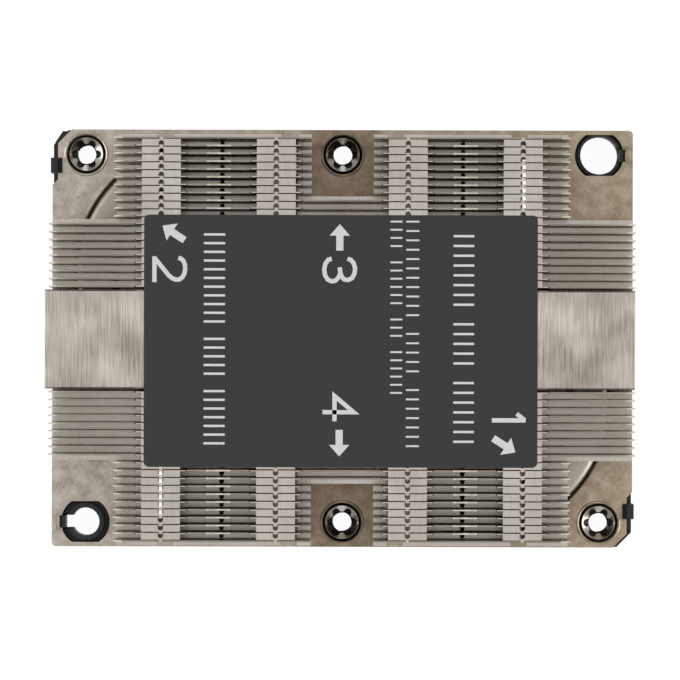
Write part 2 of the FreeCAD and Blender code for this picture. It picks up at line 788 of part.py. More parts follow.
def build_carrier_frame(body):
    """Skin under the plate with skirts, a window for the processor and wells for the nuts."""
    left_side = half_carrier_outline("upper_cut_x", "upper_cut_y")
    right_side = half_carrier_outline("lower_cut_x", "lower_cut_y")
    sketch = sketch_on(body, "XY_Plane", "carrier_outline")
    outline(sketch, left_side + [("-(%s)" % x, "-(%s)" % y) for x, y in right_side])
    pad(body, sketch, "carrier_height", downward=True)

    sketch = sketch_on(body, "XY_Plane", "processor_window")
    rectangle(sketch, "-window_length / 2", "-window_width / 2", "window_length / 2", "window_width / 2")
    pocket(body, sketch)
    sketch = sketch_on(body, "XY_Plane", "finger_notches")
    for sign in (1, -1):
        for side in ("-light_slot_place", "light_slot_place"):
            edges = [signed(sign, "window_width / 2 - carrier_wall"),
                     signed(sign, "window_width / 2 + finger_notch_depth")]
            low, high = edges if sign > 0 else reversed(edges)
            left = "%s - finger_notch_width / 2" % side
            right = "%s + finger_notch_width / 2" % side
            rectangle(sketch, left, low, right, high)
    pocket(body, sketch)

    sketch = sketch_on(body, "XY_Plane", "nut_wells")
    corner, upper_middle, lower_middle, opposite_corner = nut_places()
    circle(sketch, *corner, "nut_well")
    circle(sketch, *opposite_corner, "nut_well")
    for sign, (place_x, place_y) in ((1, upper_middle), (-1, lower_middle)):
        turn = "left" if sign > 0 else "right"
        left = "%s - nut_well / 2" % place_x
        right = "%s + nut_well / 2" % place_x
        outside = signed(sign, "carrier_width / 2 + carrier_wall")
        outline(sketch, [
            (left, place_y, place_x, place_y, turn),
            (right, place_y),
            (right, outside),
            (left, outside),
        ])
    pocket(body, sketch)

    sketch = sketch_on(body, "XY_Plane", "troughs", z="-carrier_height")
    near = "window_width / 2 + carrier_wall"
    far = "carrier_width / 2 - carrier_wall"
    left = "nut_well / 2 + trough_gap"
    right = "light_slot_place - finger_notch_width / 2 - carrier_wall"
    for sign_x in (1, -1):
        for sign_y in (1, -1):
            columns = [signed(sign_x, left), signed(sign_x, right)][::sign_x]
            lines = [signed(sign_y, near), signed(sign_y, far)][::sign_y]
            rectangle(sketch, columns[0], lines[0], columns[1], lines[1])
        columns = [signed(sign_x, "window_length / 2 + carrier_wall"),
                   signed(sign_x, "carrier_length / 2 - carrier_wall")][::sign_x]
        rectangle(sketch, columns[0], "-side_trough_width / 2", columns[1], "side_trough_width / 2")
    pocket(body, sketch, "carrier_height - carrier_skin", upward=True)


def build_collar(body, sign, bore, tube, name, through_slit):
    """Stepped collar that fills a guide hole, bored for a post, with a latch finger outside."""
    centre_x = signed(sign, "grid_reach_x")
    centre_y = signed(sign, "grid_reach_y")
    outer = "(guide_hole - 2 * collar_clearance)"
    flats = "(guide_hole_flats - 2 * collar_clearance)"
    sketch = sketch_on(body, "XY_Plane", name + "_step")
    double_d(sketch, centre_x, centre_y, outer, flats)
    pad(body, sketch, "collar_step")
    sketch = sketch_on(body, "XY_Plane", name + "_tube")
    if number(tube) < number(flats):
        circle(sketch, centre_x, centre_y, tube)
    else:
        double_d(sketch, centre_x, centre_y, tube, flats)
    pad(body, sketch, "rim_gauge - collar_recess")
    sketch = sketch_on(body, "XY_Plane", name + "_bore", z="rim_gauge")
    circle(sketch, centre_x, centre_y, bore)
    pocket(body, sketch)

    half_slit = "(latch_width / 2 + latch_slit)"
    sketch = sketch_on(body, "XY_Plane", name + "_slit", z="rim_gauge")
    columns = [centre_x, signed(sign, "grid_reach_x + %s / 2 + collar_clearance" % outer)][::sign]
    low = "%s - %s" % (centre_y, half_slit)
    high = "%s + %s" % (centre_y, half_slit)
    rectangle(sketch, columns[0], low, columns[1], high)
    pocket(body, sketch, "rim_gauge")
    if through_slit:
        sketch = sketch_on(body, "XY_Plane", name + "_keyhole", z="rim_gauge")
        columns = [centre_x, signed(sign, "grid_reach_x + %s / 2 - latch_gauge" % outer)][::sign]
        rectangle(sketch, columns[0], "%s - latch_width / 2" % centre_y,
                  columns[1], "%s + latch_width / 2" % centre_y)
        pocket(body, sketch)

    sketch = sketch_on(body, "XZ_Plane", name + "_finger", z=signed(-1, centre_y))
    root = signed(sign, "grid_reach_x + %s / 2 - latch_gauge" % outer)
    face = signed(sign, "grid_reach_x + %s / 2" % outer)
    barb = signed(sign, "grid_reach_x + %s / 2 + latch_barb + collar_clearance" % outer)
    barb_foot = "rim_gauge - catch_depth + ring_clearance"
    outline(sketch, [
        (root, "-carrier_skin"),
        (face, "-carrier_skin"),
        (face, barb_foot),
        (barb, barb_foot),
        (face, "%s + latch_barb_height" % barb_foot),
        (root, "%s + latch_barb_height" % barb_foot),
    ])
    pad(body, sketch, "latch_width", both_ways=True)


def build_hooks(body):
    """Two hooks that grip the plate's notched edges, with sloped lips over its top."""
    for sign, name in ((-1, "left_hook"), (1, "right_hook")):
        sketch = sketch_on(body, "XZ_Plane", name, z=signed(sign, "hook_place"))
        back = signed(sign, "carrier_length / 2 + hook_reach")
        inner = signed(sign, "base_length / 2 - clip_notch_depth + hook_gap")
        lip = signed(sign, "base_length / 2 - clip_notch_depth - hook_lip")
        outline(sketch, [
            (back, "-carrier_height"),
            (inner, "-carrier_height"),
            (inner, "rim_gauge + hook_gap"),
            (lip, "rim_gauge + hook_gap"),
            (lip, "rim_gauge + hook_gap + hook_lip_height / 2"),
            (inner, "rim_gauge + hook_gap + hook_lip_height"),
            (back, "rim_gauge + hook_gap + hook_lip_height"),
        ])
        pad(body, sketch, "hook_width", both_ways=True)


def build_snaps(body):
    """Two ledges on the window's short sides that hold the processor."""
    for sign, name in ((-1, "left_snap"), (1, "right_snap")):
        sketch = sketch_on(body, "XZ_Plane", name)
        wall = signed(sign, "window_length / 2 + carrier_wall / 2")
        face = signed(sign, "window_length / 2")
        tip = signed(sign, "window_length / 2 - snap_reach")
        outline(sketch, [
            (wall, "-carrier_height + snap_lift"),
            (face, "-carrier_height + snap_lift"),
            (tip, "-carrier_height + snap_lift + snap_height / 2"),
            (tip, "-carrier_height + snap_lift + snap_height"),
            (wall, "-carrier_height + snap_lift + snap_height"),
        ])
        pad(body, sketch, "snap_width", both_ways=True)


def build_carrier():
    """Moulded carrier clipped under the plate."""
    body = new_body("processor_carrier")
    build_carrier_frame(body)
    build_collar(body, 1, "wide_post_bore", "wide_tube", "wide_collar", through_slit=False)
    build_collar(body, -1, "narrow_post_bore", "narrow_tube", "narrow_collar", through_slit=True)
    build_hooks(body)
    build_snaps(body)
    keep(body, z="contact_rise")


# ---------------------------------------------------------------- check and write
def check_document():
    """Stop if any object failed or any sub-part is not one or two sound solids."""
    for item in DOCUMENT.Objects:
        if "Invalid" in item.State or "Error" in item.State:
            raise RuntimeError("%s failed: %s" % (item.Name, item.State))
    for body in SUB_PARTS:
        shape = body.Shape
        if shape.isNull() or not shape.isValid() or not shape.Solids:
            raise RuntimeError("%s has no sound solid" % body.Label)


def write_parts():
    """Write one STEP file for each sub-part."""
    os.makedirs("parts", exist_ok=True)
    for body in SUB_PARTS:
        body.Shape.exportStep(os.path.join("parts", body.Label + ".step"))


build_base_plate()
build_heat_pipes()
build_centre_bar()
build_fins()
build_fasteners()
build_label()
build_carrier()
DOCUMENT.recompute()
check_document()
write_parts()
print("%d sub-parts written" % len(SUB_PARTS))
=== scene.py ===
"""Looks of a passive server processor heatsink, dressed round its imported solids.

Every piece takes its place from the frame: the plated base with its pipes, the two zipper fin
stacks, the bar, the captive nuts with their rings, the label and the moulded carrier. Lengths
in the dataclasses are millimetres, apart from the studio's; the meshes are metres, as the
frame is.
"""

import logging
import math
from dataclasses import dataclass, field
from enum import Enum, IntEnum
from typing import Any, Iterable, Sequence

import bmesh
import bpy
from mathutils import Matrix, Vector

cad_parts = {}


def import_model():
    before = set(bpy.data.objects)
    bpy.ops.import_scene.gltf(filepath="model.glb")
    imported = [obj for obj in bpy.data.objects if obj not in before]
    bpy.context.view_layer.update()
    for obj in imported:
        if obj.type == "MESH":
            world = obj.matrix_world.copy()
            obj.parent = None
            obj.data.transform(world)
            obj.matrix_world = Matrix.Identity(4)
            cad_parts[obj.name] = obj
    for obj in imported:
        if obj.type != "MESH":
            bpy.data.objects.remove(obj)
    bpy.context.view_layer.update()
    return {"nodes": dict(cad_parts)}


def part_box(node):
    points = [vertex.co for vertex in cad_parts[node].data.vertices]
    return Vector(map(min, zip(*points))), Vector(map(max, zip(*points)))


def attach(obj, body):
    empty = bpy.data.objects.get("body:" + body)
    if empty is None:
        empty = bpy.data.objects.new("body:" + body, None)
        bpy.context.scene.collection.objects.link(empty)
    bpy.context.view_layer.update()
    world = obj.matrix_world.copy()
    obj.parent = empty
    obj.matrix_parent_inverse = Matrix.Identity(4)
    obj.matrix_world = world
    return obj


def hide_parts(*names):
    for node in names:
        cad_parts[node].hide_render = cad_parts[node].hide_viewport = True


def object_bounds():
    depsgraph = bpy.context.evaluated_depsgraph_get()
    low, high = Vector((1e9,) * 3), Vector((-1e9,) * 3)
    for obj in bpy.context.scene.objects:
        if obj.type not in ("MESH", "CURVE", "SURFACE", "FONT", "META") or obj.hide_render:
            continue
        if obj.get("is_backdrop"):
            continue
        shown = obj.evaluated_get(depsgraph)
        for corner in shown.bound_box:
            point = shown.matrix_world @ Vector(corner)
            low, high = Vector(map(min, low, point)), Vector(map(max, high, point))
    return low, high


LOG = logging.getLogger("heatsink")
MM = 0.001
BODY = "heatsink"
NUTS = (1, 2, 3, 4)
SMOOTH_ANGLE = math.radians(25.0)
CUT_TOLERANCE = 1e-5

Colour = tuple[float, float, float, float]
Point = tuple[float, float]
Socket = bpy.types.NodeSocket
Tree = bpy.types.NodeTree


class Grain(Enum):
    """Direction in which a metal's brushing or rolling marks run, as the scale of the marks."""

    ALONG = (0.04, 1.0, 1.0)
    ACROSS = (1.0, 0.04, 1.0)
    SHORT = (1.0, 0.22, 1.0)
    NONE = (1.0, 1.0, 1.0)


class Stack(Enum):
    """The two fin stacks, with the side of the bar each stands on."""

    UPPER = 1
    LOWER = -1


class FinFace(IntEnum):
    """Material numbers of a fin's faces, in the order of its finishes."""

    FLANGE = 0
    WEB = 1
    EDGE = 2
    # Darker finish that paints shade on the webs between the strips and on sloped and upright cut
    # edges
    TARNISHED = 3


# ---------------------------------------------------------------- shader helpers
def linear(hex_colour: str) -> Colour:
    """Turn an sRGB hex colour to linear.

    Args:
        hex_colour: Six hex digits after a hash.

    Returns:
        Linear red, green and blue with full alpha.
    """
    def channel(pair: str) -> float:
        """Linear value of a channel's two hex digits."""
        value = int(pair, 16) / 255.0
        return value / 12.92 if value <= 0.04045 else ((value + 0.055) / 1.055) ** 2.4

    return (channel(hex_colour[1:3]), channel(hex_colour[3:5]), channel(hex_colour[5:7]), 1.0)


def new_material(name: str) -> tuple[bpy.types.Material, Tree]:
    """Make an empty node material.

    Args:
        name: Name of the material.

    Returns:
        The material and its node tree.
    """
    material = bpy.data.materials.new(name)
    material.use_nodes = True
    material.node_tree.nodes.clear()
    return material, material.node_tree


def add_node(tree: Tree, kind: str, inputs: dict[str | int, Any] | None = None,
             **properties: Any) -> bpy.types.Node:
    """Add a node with its properties and inputs.

    Args:
        tree: Node tree that takes the node.
        kind: Blender's name of the node type.
        inputs: Values, or output sockets to link, by the input's name or index.
        properties: The node's own properties.

    Returns:
        The new node.
    """
    node = tree.nodes.new(kind)
    for name, value in properties.items():
        setattr(node, name, value)
    for key, value in (inputs or {}).items():
        if isinstance(value, Socket):
            tree.links.new(value, node.inputs[key])
        else:
            node.inputs[key].default_value = value
    return node


def calculate(tree: Tree, operation: str, *values: Socket | float) -> Socket:
    """Add a math node.

    Args:
        tree: Node tree that takes the node.
        operation: Blender's name of the operation.
        values: Its inputs in order.

    Returns:
        The result.
    """
    return add_node(tree, "ShaderNodeMath", dict(enumerate(values)), operation=operation).outputs[0]


def ranged(tree: Tree, value: Socket, source: Point = (0.0, 1.0), target: Point = (0.0, 1.0),
           smooth: bool = False) -> Socket:
    """Map a value from one range to another, clamped at both ends.

    Args:
        tree: Node tree that takes the node.
        value: The value.
        source: Range that it comes from.
        target: Range that it goes to.
        smooth: Whether it eases in and out.

    Returns:
        The mapped value.
    """
    inputs = {"Value": value, "From Min": source[0], "From Max": source[1],
              "To Min": target[0], "To Max": target[1]}
    easing = "SMOOTHSTEP" if smooth else "LINEAR"
    return add_node(tree, "ShaderNodeMapRange", inputs, interpolation_type=easing).outputs[0]


def blended(tree: Tree, share: Socket, first: Socket | Colour, second: Socket | Colour,
            kind: str = "MIX") -> Socket:
    """Blend a second colour into a first one.

    Args:
        tree: Node tree that takes the node.
        share: Share of the second colour.
        first: First colour.
        second: Second colour.
        kind: Blender's name of the way they blend.

    Returns:
        The blended colour.
    """
    return add_node(tree, "ShaderNodeMix", {0: share, 6: first, 7: second}, data_type="RGBA",
                    blend_type=kind).outputs[2]


def noise(tree: Tree, place: Socket, size: float, detail: float, roughness: float) -> Socket:
    """Add a noise.

    Args:
        tree: Node tree that takes the node.
        place: Where on the piece it is read.
        size: Size of its coarsest marks in mm.
        detail: Number of finer layers.
        roughness: How strong the finer layers are.

    Returns:
        Its value, from 0 to 1.
    """
    inputs = {"Vector": place, "Scale": 1.0 / (size * MM), "Detail": detail, "Roughness": roughness}
    return add_node(tree, "ShaderNodeTexNoise", inputs).outputs["Fac"]


def add_surface(tree: Tree, colour: Socket, roughness: Socket, marks: Socket, depth: float,
                values: dict[str, float]) -> None:
    """End a finish with its relief and its surface.

    Args:
        tree: Node tree of the finish.
        colour: Its colour.
        roughness: Its roughness.
        marks: Height of its marks, from 0 to 1.
        depth: Depth of the marks in mm.
        values: Other inputs of the surface.
    """
    relief = add_node(tree, "ShaderNodeBump",
                      {"Height": marks, "Strength": 1.0, "Distance": depth * MM}).outputs[0]
    shader = add_node(tree, "ShaderNodeBsdfPrincipled",
                      {"Base Color": colour, "Roughness": roughness, "Normal": relief} | values)
    add_node(tree, "ShaderNodeOutputMaterial", {"Surface": shader.outputs[0]})


@dataclass(frozen=True)
class PlatedMetal:
    """Metal with a thin plated skin and fine directional marks.

    Fields: the skin's two tones, roughness range, grain width in mm, how deep the marks are in
    mm, their direction, the width in mm of the slow clouding of the plating bath, how even the
    tone is between its two ends, a tint that makes the tone darker and warmer towards the right
    end, and a tint of painted shade across the middle, between the fin stacks.
    """

    name: str
    light: str
    dark: str
    smooth: float
    rough: float
    grain: float
    depth: float
    direction: Grain
    cloud: float = 9.0
    evenness: float = 0.35
    drift: str = "#ffffff"
    drift_reach: float = 50.0
    # Painted shade across the middle: this tint is at full strength out to the first distance from the
    # middle and fades out by the second
    middle: str = "#ffffff"
    middle_shade_inner: float = 5.0
    middle_shade_outer: float = 9.0

    def material(self) -> bpy.types.Material:
        """Build the shader.

        Returns:
            The finish as a material.
        """
        material, tree = new_material(self.name)
        place = add_node(tree, "ShaderNodeTexCoord").outputs["Object"]
        stretched = add_node(tree, "ShaderNodeMapping",
                             {"Vector": place, "Scale": self.direction.value}).outputs[0]
        marks = noise(tree, stretched, self.grain, detail=3.0, roughness=0.6)
        clouds = noise(tree, place, self.cloud, detail=2.0, roughness=0.5)
        spread = ranged(tree, calculate(tree, "ADD", marks, clouds),
                        (1.0 - self.evenness, 1.0 + self.evenness))
        tone = blended(tree, spread, linear(self.dark), linear(self.light))
        along = add_node(tree, "ShaderNodeSeparateXYZ", {0: place}).outputs["X"]
        reach = self.drift_reach * MM
        # The tone turns darker and warmer towards the right end
        drift = ranged(tree, along, (-reach, reach), smooth=True)
        tone = blended(tree, drift, tone, linear(self.drift), "MULTIPLY")
        # Painted shade: the tone darkens across the middle, where the plate lies between the fin
        # stacks
        near = ranged(tree, calculate(tree, "ABSOLUTE", along),
                      (self.middle_shade_inner * MM, self.middle_shade_outer * MM), (1.0, 0.0), smooth=True)
        tone = blended(tree, near, tone, linear(self.middle), "MULTIPLY")
        rough = ranged(tree, marks, target=(self.smooth, self.rough))
        add_surface(tree, tone, rough, marks, self.depth, {"Metallic": 1.0})
        return material


@dataclass(frozen=True)
class MouldedPlastic:
    """Spark-textured moulded plastic.

    Fields: colour, roughness, width of the grit in mm and its depth in mm, how far colour and
    roughness swing with the grit, and the refractive index.
    """

    name: str
    colour: str
    roughness: float
    grit: float
    depth: float
    mottle: float = 0.14
    swing: float = 0.06
    index: float = 1.53

    def material(self) -> bpy.types.Material:
        """Build the shader.

        Returns:
            The finish as a material.
        """
        material, tree = new_material(self.name)
        place = add_node(tree, "ShaderNodeTexCoord").outputs["Object"]
        grit = noise(tree, place, self.grit, detail=2.0, roughness=0.5)
        base = linear(self.colour)[:3]
        dark = tuple(value * (1.0 - self.mottle) for value in base) + (1.0,)
        light = tuple(value * (1.0 + self.mottle) for value in base) + (1.0,)
        rough = ranged(tree, grit, target=(self.roughness - self.swing, self.roughness + self.swing))
        add_surface(tree, blended(tree, grit, dark, light), rough, grit, self.depth,
                    {"IOR": self.index})
        return material


# Nickel over a milled aluminium plate: warm grey, with the brush's marks across the length
# Its middle tint is painted shade on the plate between the two fin stacks; its drift makes the tone
# darker and warmer towards the right end
BASE_NICKEL = PlatedMetal("nickel_plated_milled_aluminium", "#d2cbc0", "#a29888", 0.24, 0.44,
                          0.20, 0.006, Grain.SHORT, cloud=2.6, evenness=0.27, drift="#eae0d0",
                          middle="#cdc4bd")
# Nickel over rolled sheet: the palest, smoothest metal of the heatsink, near its rolled flatness
FIN_NICKEL = PlatedMetal("nickel_plated_rolled_sheet", "#dad4cb", "#c0b8ad", 0.14, 0.24,
                         0.16, 0.002, Grain.ACROSS)
# The same sheet on the webs, where the bath barely moves between the fins: a shade duller
WEB_NICKEL = PlatedMetal("dull_nickel_between_fins", "#d8d2c8", "#c0b8ad", 0.20, 0.32,
                         0.30, 0.002, Grain.ALONG)
# Painted shade: darker nickel on the webs between the strips and on sloped and upright cut edges
PAINTED_SHADE_NICKEL = PlatedMetal("nickel_with_painted_shade", "#a39b8f", "#867e72", 0.30, 0.46,
                               0.30, 0.002, Grain.ALONG)
# Sheared edges of the sheet, burnished by the die: darker than the sheet, and smooth
EDGE_NICKEL = PlatedMetal("die_burnished_sheet_edge", "#aaa296", "#8d857a", 0.12, 0.22,
                          0.30, 0.002, Grain.ALONG)
# Dark sheet in the middle notch of each foot, painted shade: brown, almost black
NOTCH_PAINTED_SHADE = PlatedMetal("solder_under_burnt_flux", "#4a4238", "#2c2620", 0.40, 0.55,
                            0.20, 0.002, Grain.NONE)
# Nickel over the brushed bar: the marks of a belt run across it, long and easy to see
BAR_NICKEL = PlatedMetal("nickel_plated_belt_brushed_aluminium", "#dbd3c8", "#9a9085", 0.26, 0.44,
                         0.30, 0.012, Grain.ACROSS, evenness=0.26)
# Nickel over drawn copper tube: smoother than the milled plate round it
PIPE_NICKEL = PlatedMetal("nickel_plated_copper_tube", "#c6beb1", "#a0968a", 0.26, 0.38,
                          0.20, 0.001, Grain.NONE)
# The nut's socket, its floor and its thread: steel darkened as painted shade, so that its depth reads
SOCKET_PAINTED_SHADE = PlatedMetal("oily_broached_steel", "#7d776e", "#5c574f", 0.22, 0.36,
                           0.10, 0.002, Grain.NONE)
# Nickel over turned steel: bright, with faint rings left by the lathe
NUT_NICKEL = PlatedMetal("nickel_plated_turned_steel", "#bdb8b0", "#8b867f", 0.14, 0.26,
                         0.08, 0.002, Grain.NONE)
# Oiled spring steel: dark and dull
SPRING_STEEL = PlatedMetal("oiled_spring_steel", "#6d6963", "#4c4944", 0.34, 0.50,
                           0.10, 0.002, Grain.NONE)
# Screen-printed polyester film: charcoal ground with a satin varnish
LABEL_GROUND = MouldedPlastic("charcoal_polyester_film", "#181817", 0.50, 0.35, 0.002)
# The same film's white ink
LABEL_INK = MouldedPlastic("white_screen_ink", "#c9c9cb", 0.55, 0.25, 0.001)
# Moulded glass-filled black nylon: fine spark texture that keeps it dull
CARRIER_PLASTIC = MouldedPlastic("black_moulded_nylon", "#0b0b0c", 0.55, 0.12, 0.006)


# ---------------------------------------------------------------- mesh helpers
def make_piece(name: str, mesh: bpy.types.Mesh, finishes: Sequence[bpy.types.Material],
               body: str = BODY, stands_for: str | None = None) -> bpy.types.Object:
    """Put a mesh in the scene as a piece of the object.

    Args:
        name: Name of the piece.
        mesh: Its mesh, in the frame's metres.
        finishes: Its finishes, in the order of its faces' material numbers.
        body: The body that it rides on.
        stands_for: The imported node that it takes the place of.

    Returns:
        The new object.
    """
    numbers = [face.material_index for face in mesh.polygons]
    mesh.materials.clear()
    for finish in finishes:
        mesh.materials.append(finish)
    for face, number in zip(mesh.polygons, numbers):
        face.material_index = min(number, len(finishes) - 1)
    mesh.shade_smooth()
    mesh.set_sharp_from_angle(angle=SMOOTH_ANGLE)
    piece = bpy.data.objects.new(name, mesh)
    bpy.context.collection.objects.link(piece)
    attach(piece, body)
    if stands_for:
        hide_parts(stands_for)
    LOG.info("built %s in %s", name, finishes[0].name)
    return piece


def dress(nodes: dict[str, bpy.types.Object], name: str, finish: bpy.types.Material) -> None:
    """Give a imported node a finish.

    Args:
        nodes: The frame's nodes.
        name: Name of the node.
        finish: Its finish.
    """
    for slot in nodes[name].material_slots:
        slot.material = finish
    LOG.info("dressed %s in %s", name, finish.name)


def thickened(mesh: bpy.types.Mesh, gauge: float, edge_number: int = 0) -> bpy.types.Mesh:
    """Give a sheet its gauge, half on each side.

    Args:
        mesh: Middle surface of the sheet, in metres.
        gauge: Gauge of the sheet in metres.
        edge_number: Material number of the cut edges beyond that of the faces beside them.

    Returns:
        The closed mesh.
    """
    for _ in range(edge_number + 2):
        mesh.materials.append(None)
    holder = bpy.data.objects.new("sheet", mesh)
    bpy.context.collection.objects.link(holder)
    solid = holder.modifiers.new("gauge", "SOLIDIFY")
    solid.thickness = gauge
    solid.offset = 0.0
    solid.use_even_offset = True
    solid.material_offset_rim = edge_number
    settled = holder.evaluated_get(bpy.context.evaluated_depsgraph_get())
    closed = bpy.data.meshes.new_from_object(settled)
    bpy.data.objects.remove(holder)
    return closed


def filled(loops: Sequence[Sequence[Point]]) -> bmesh.types.BMesh:
    """Fill flat loops, the first one of each outline with the others as its holes.

    Args:
        loops: Closed loops of points, without the first point repeated.

    Returns:
        A mesh of triangles in the XY plane.
    """
    sheet = bmesh.new()
    edges = []
    for loop in loops:
        corners = [sheet.verts.new((x, y, 0.0)) for x, y in loop]
        for index, corner in enumerate(corners):
            edges.append(sheet.edges.new((corner, corners[(index + 1) % len(corners)])))
    bmesh.ops.triangle_fill(sheet, edges=edges, use_beauty=True, use_dissolve=False,
                            normal=(0.0, 0.0, 1.0))
    return sheet


def skinned(sections: Sequence[Sequence[Vector]], looped: bool,
            second_from: int | None = None) -> bmesh.types.BMesh:
    """Stretch a skin over closed sections.

    Args:
        sections: Points of each section, in metres, all with the same number of them.
        looped: Whether the last section joins the first; otherwise both ends are capped.
        second_from: Side of the sections from which the second finish starts.

    Returns:
        The closed shape.
    """
    shape = bmesh.new()
    grid = [[shape.verts.new(point) for point in section] for section in sections]
    for first, second in zip(grid, grid[1:] + (grid[:1] if looped else [])):
        for side in range(len(first)):
            after = (side + 1) % len(first)
            face = shape.faces.new((first[side], first[after], second[after], second[side]))
            face.material_index = int(second_from is not None and side >= second_from)
    if not looped:
        shape.faces.new(grid[0])
        shape.faces.new(grid[-1])
    bmesh.ops.recalc_face_normals(shape, faces=shape.faces[:])
    return shape


def to_mesh(shape: bmesh.types.BMesh, name: str) -> bpy.types.Mesh:
    """Write a shape to a mesh and free it.

    Args:
        shape: The shape.
        name: Name of the mesh.

    Returns:
        The mesh.
    """
    mesh = bpy.data.meshes.new(name)
    shape.to_mesh(mesh)
    shape.free()
    return mesh


def joined(shapes: Iterable[bmesh.types.BMesh], name: str) -> bpy.types.Mesh:
    """Write several shapes to one mesh and free them.

    Args:
        shapes: The shapes.
        name: Name of the mesh.

    Returns:
        The mesh.
    """
    whole = bmesh.new()
    for shape in shapes:
        part = to_mesh(shape, "part")
        whole.from_mesh(part)
        bpy.data.meshes.remove(part)
    return to_mesh(whole, name)


def nut_axis(number: int) -> Vector:
    """Middle of a captive nut, in metres."""
    low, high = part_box("captive_nut_%d" % number)
    return (low + high) / 2


def around(axis: Vector, radius: float, angle: float, height: float) -> Vector:
    """Place a point round an upright axis.

    Args:
        axis: A point of the axis, in metres.
        radius: Distance from the axis in mm.
        angle: Direction in radians.
        height: Z in metres.

    Returns:
        The point, in metres.
    """
    return Vector((axis.x + radius * math.cos(angle) * MM, axis.y + radius * math.sin(angle) * MM,
                   height))


def half_round(middle: float, radius: float, start: float, steps: int) -> list[Point]:
    """Half circle of points, from right to left over its middle.

    Args:
        middle: X of its centre.
        radius: Its radius.
        start: Y of its centre.
        steps: Number of its sides.

    Returns:
        The points.
    """
    angles = [math.pi * step / steps for step in range(steps + 1)]
    return [(middle + radius * math.cos(angle), start + radius * math.sin(angle))
            for angle in angles]


def both_sides(places: Sequence[float]) -> list[float]:
    """Places on both sides of the middle, from left to right."""
    return [-place for place in reversed(places)] + list(places)


# ---------------------------------------------------------------- zipper fins
@dataclass
class FoldedSheet:
    """Section of a folded fin and the flat blank that it is pressed from."""

    height: float = 20.5
    gauge: float = 0.3
    flange: float = 1.323
    bend: float = 0.12
    bend_steps: int = 6
    support: float = 0.04

    @property
    def inset(self) -> float:
        """Distance from a face of the section to the centre of its bend."""
        return self.gauge / 2 + self.bend

    @property
    def flat(self) -> float:
        """Flat length of a flange, on the sheet's middle."""
        return self.flange - self.inset

    @property
    def arc(self) -> float:
        """Length of a bend, on the sheet's middle."""
        return self.bend * math.pi / 2

    @property
    def crown_bend(self) -> float:
        """Length along the blank at which the crown's bend starts."""
        return self.flat + self.arc + self.height - 2 * self.inset

    def web(self, height: float) -> float:
        """Length along the blank of a height on the web."""
        return self.flat + self.arc + height - self.inset

    def crown(self, reach: float) -> float:
        """Length along the blank of a distance out from the back of the web, on the crown."""
        return self.crown_bend + self.arc + reach - self.inset

    def fold(self, length: float) -> tuple[float, float]:
        """Fold the blank.

        Args:
            length: Length along the blank, from the foot flange's edge.

        Returns:
            Distance out from the back of the web, and height over the foot.
        """
        if length < self.flat:
            return self.flange - length, self.gauge / 2
        if length < self.flat + self.arc:
            angle = (length - self.flat) / self.bend
            return self.inset - self.bend * math.sin(angle), self.inset - self.bend * math.cos(angle)
        if length < self.crown_bend:
            return self.gauge / 2, length - self.flat - self.arc + self.inset
        if length < self.crown_bend + self.arc:
            angle = (length - self.crown_bend) / self.bend
            return (self.inset - self.bend * math.cos(angle),
                    self.height - self.inset + self.bend * math.sin(angle))
        return length - self.crown_bend - self.arc + self.inset, self.height - self.gauge / 2

    def creases(self) -> list[float]:
        """List where the blank is bent.

        Returns:
            Lengths along the blank at which the mesh needs an edge.
        """
        lines = []
        for start in (self.flat, self.crown_bend):
            lines.append(start - self.support)
            lines += [start + self.arc * step / self.bend_steps for step in range(self.bend_steps + 1)]
            lines.append(start + self.arc + self.support)
        return lines


@dataclass(frozen=True)
class Notch:
    """Notch in a foot's edge: its place, and its half widths at the mouth and at the root."""

    place: float
    mouth: float
    root: float

    def mirrored(self) -> "Notch":
        """The same notch on the other side of the middle."""
        return Notch(-self.place, self.mouth, self.root)

    def outline(self, depth: float) -> list[Point]:
        """Its corners from left to right, down to a depth."""
        return [(self.place - self.mouth, 0.0), (self.place - self.root, depth),
                (self.place + self.root, depth), (self.place + self.mouth, 0.0)]


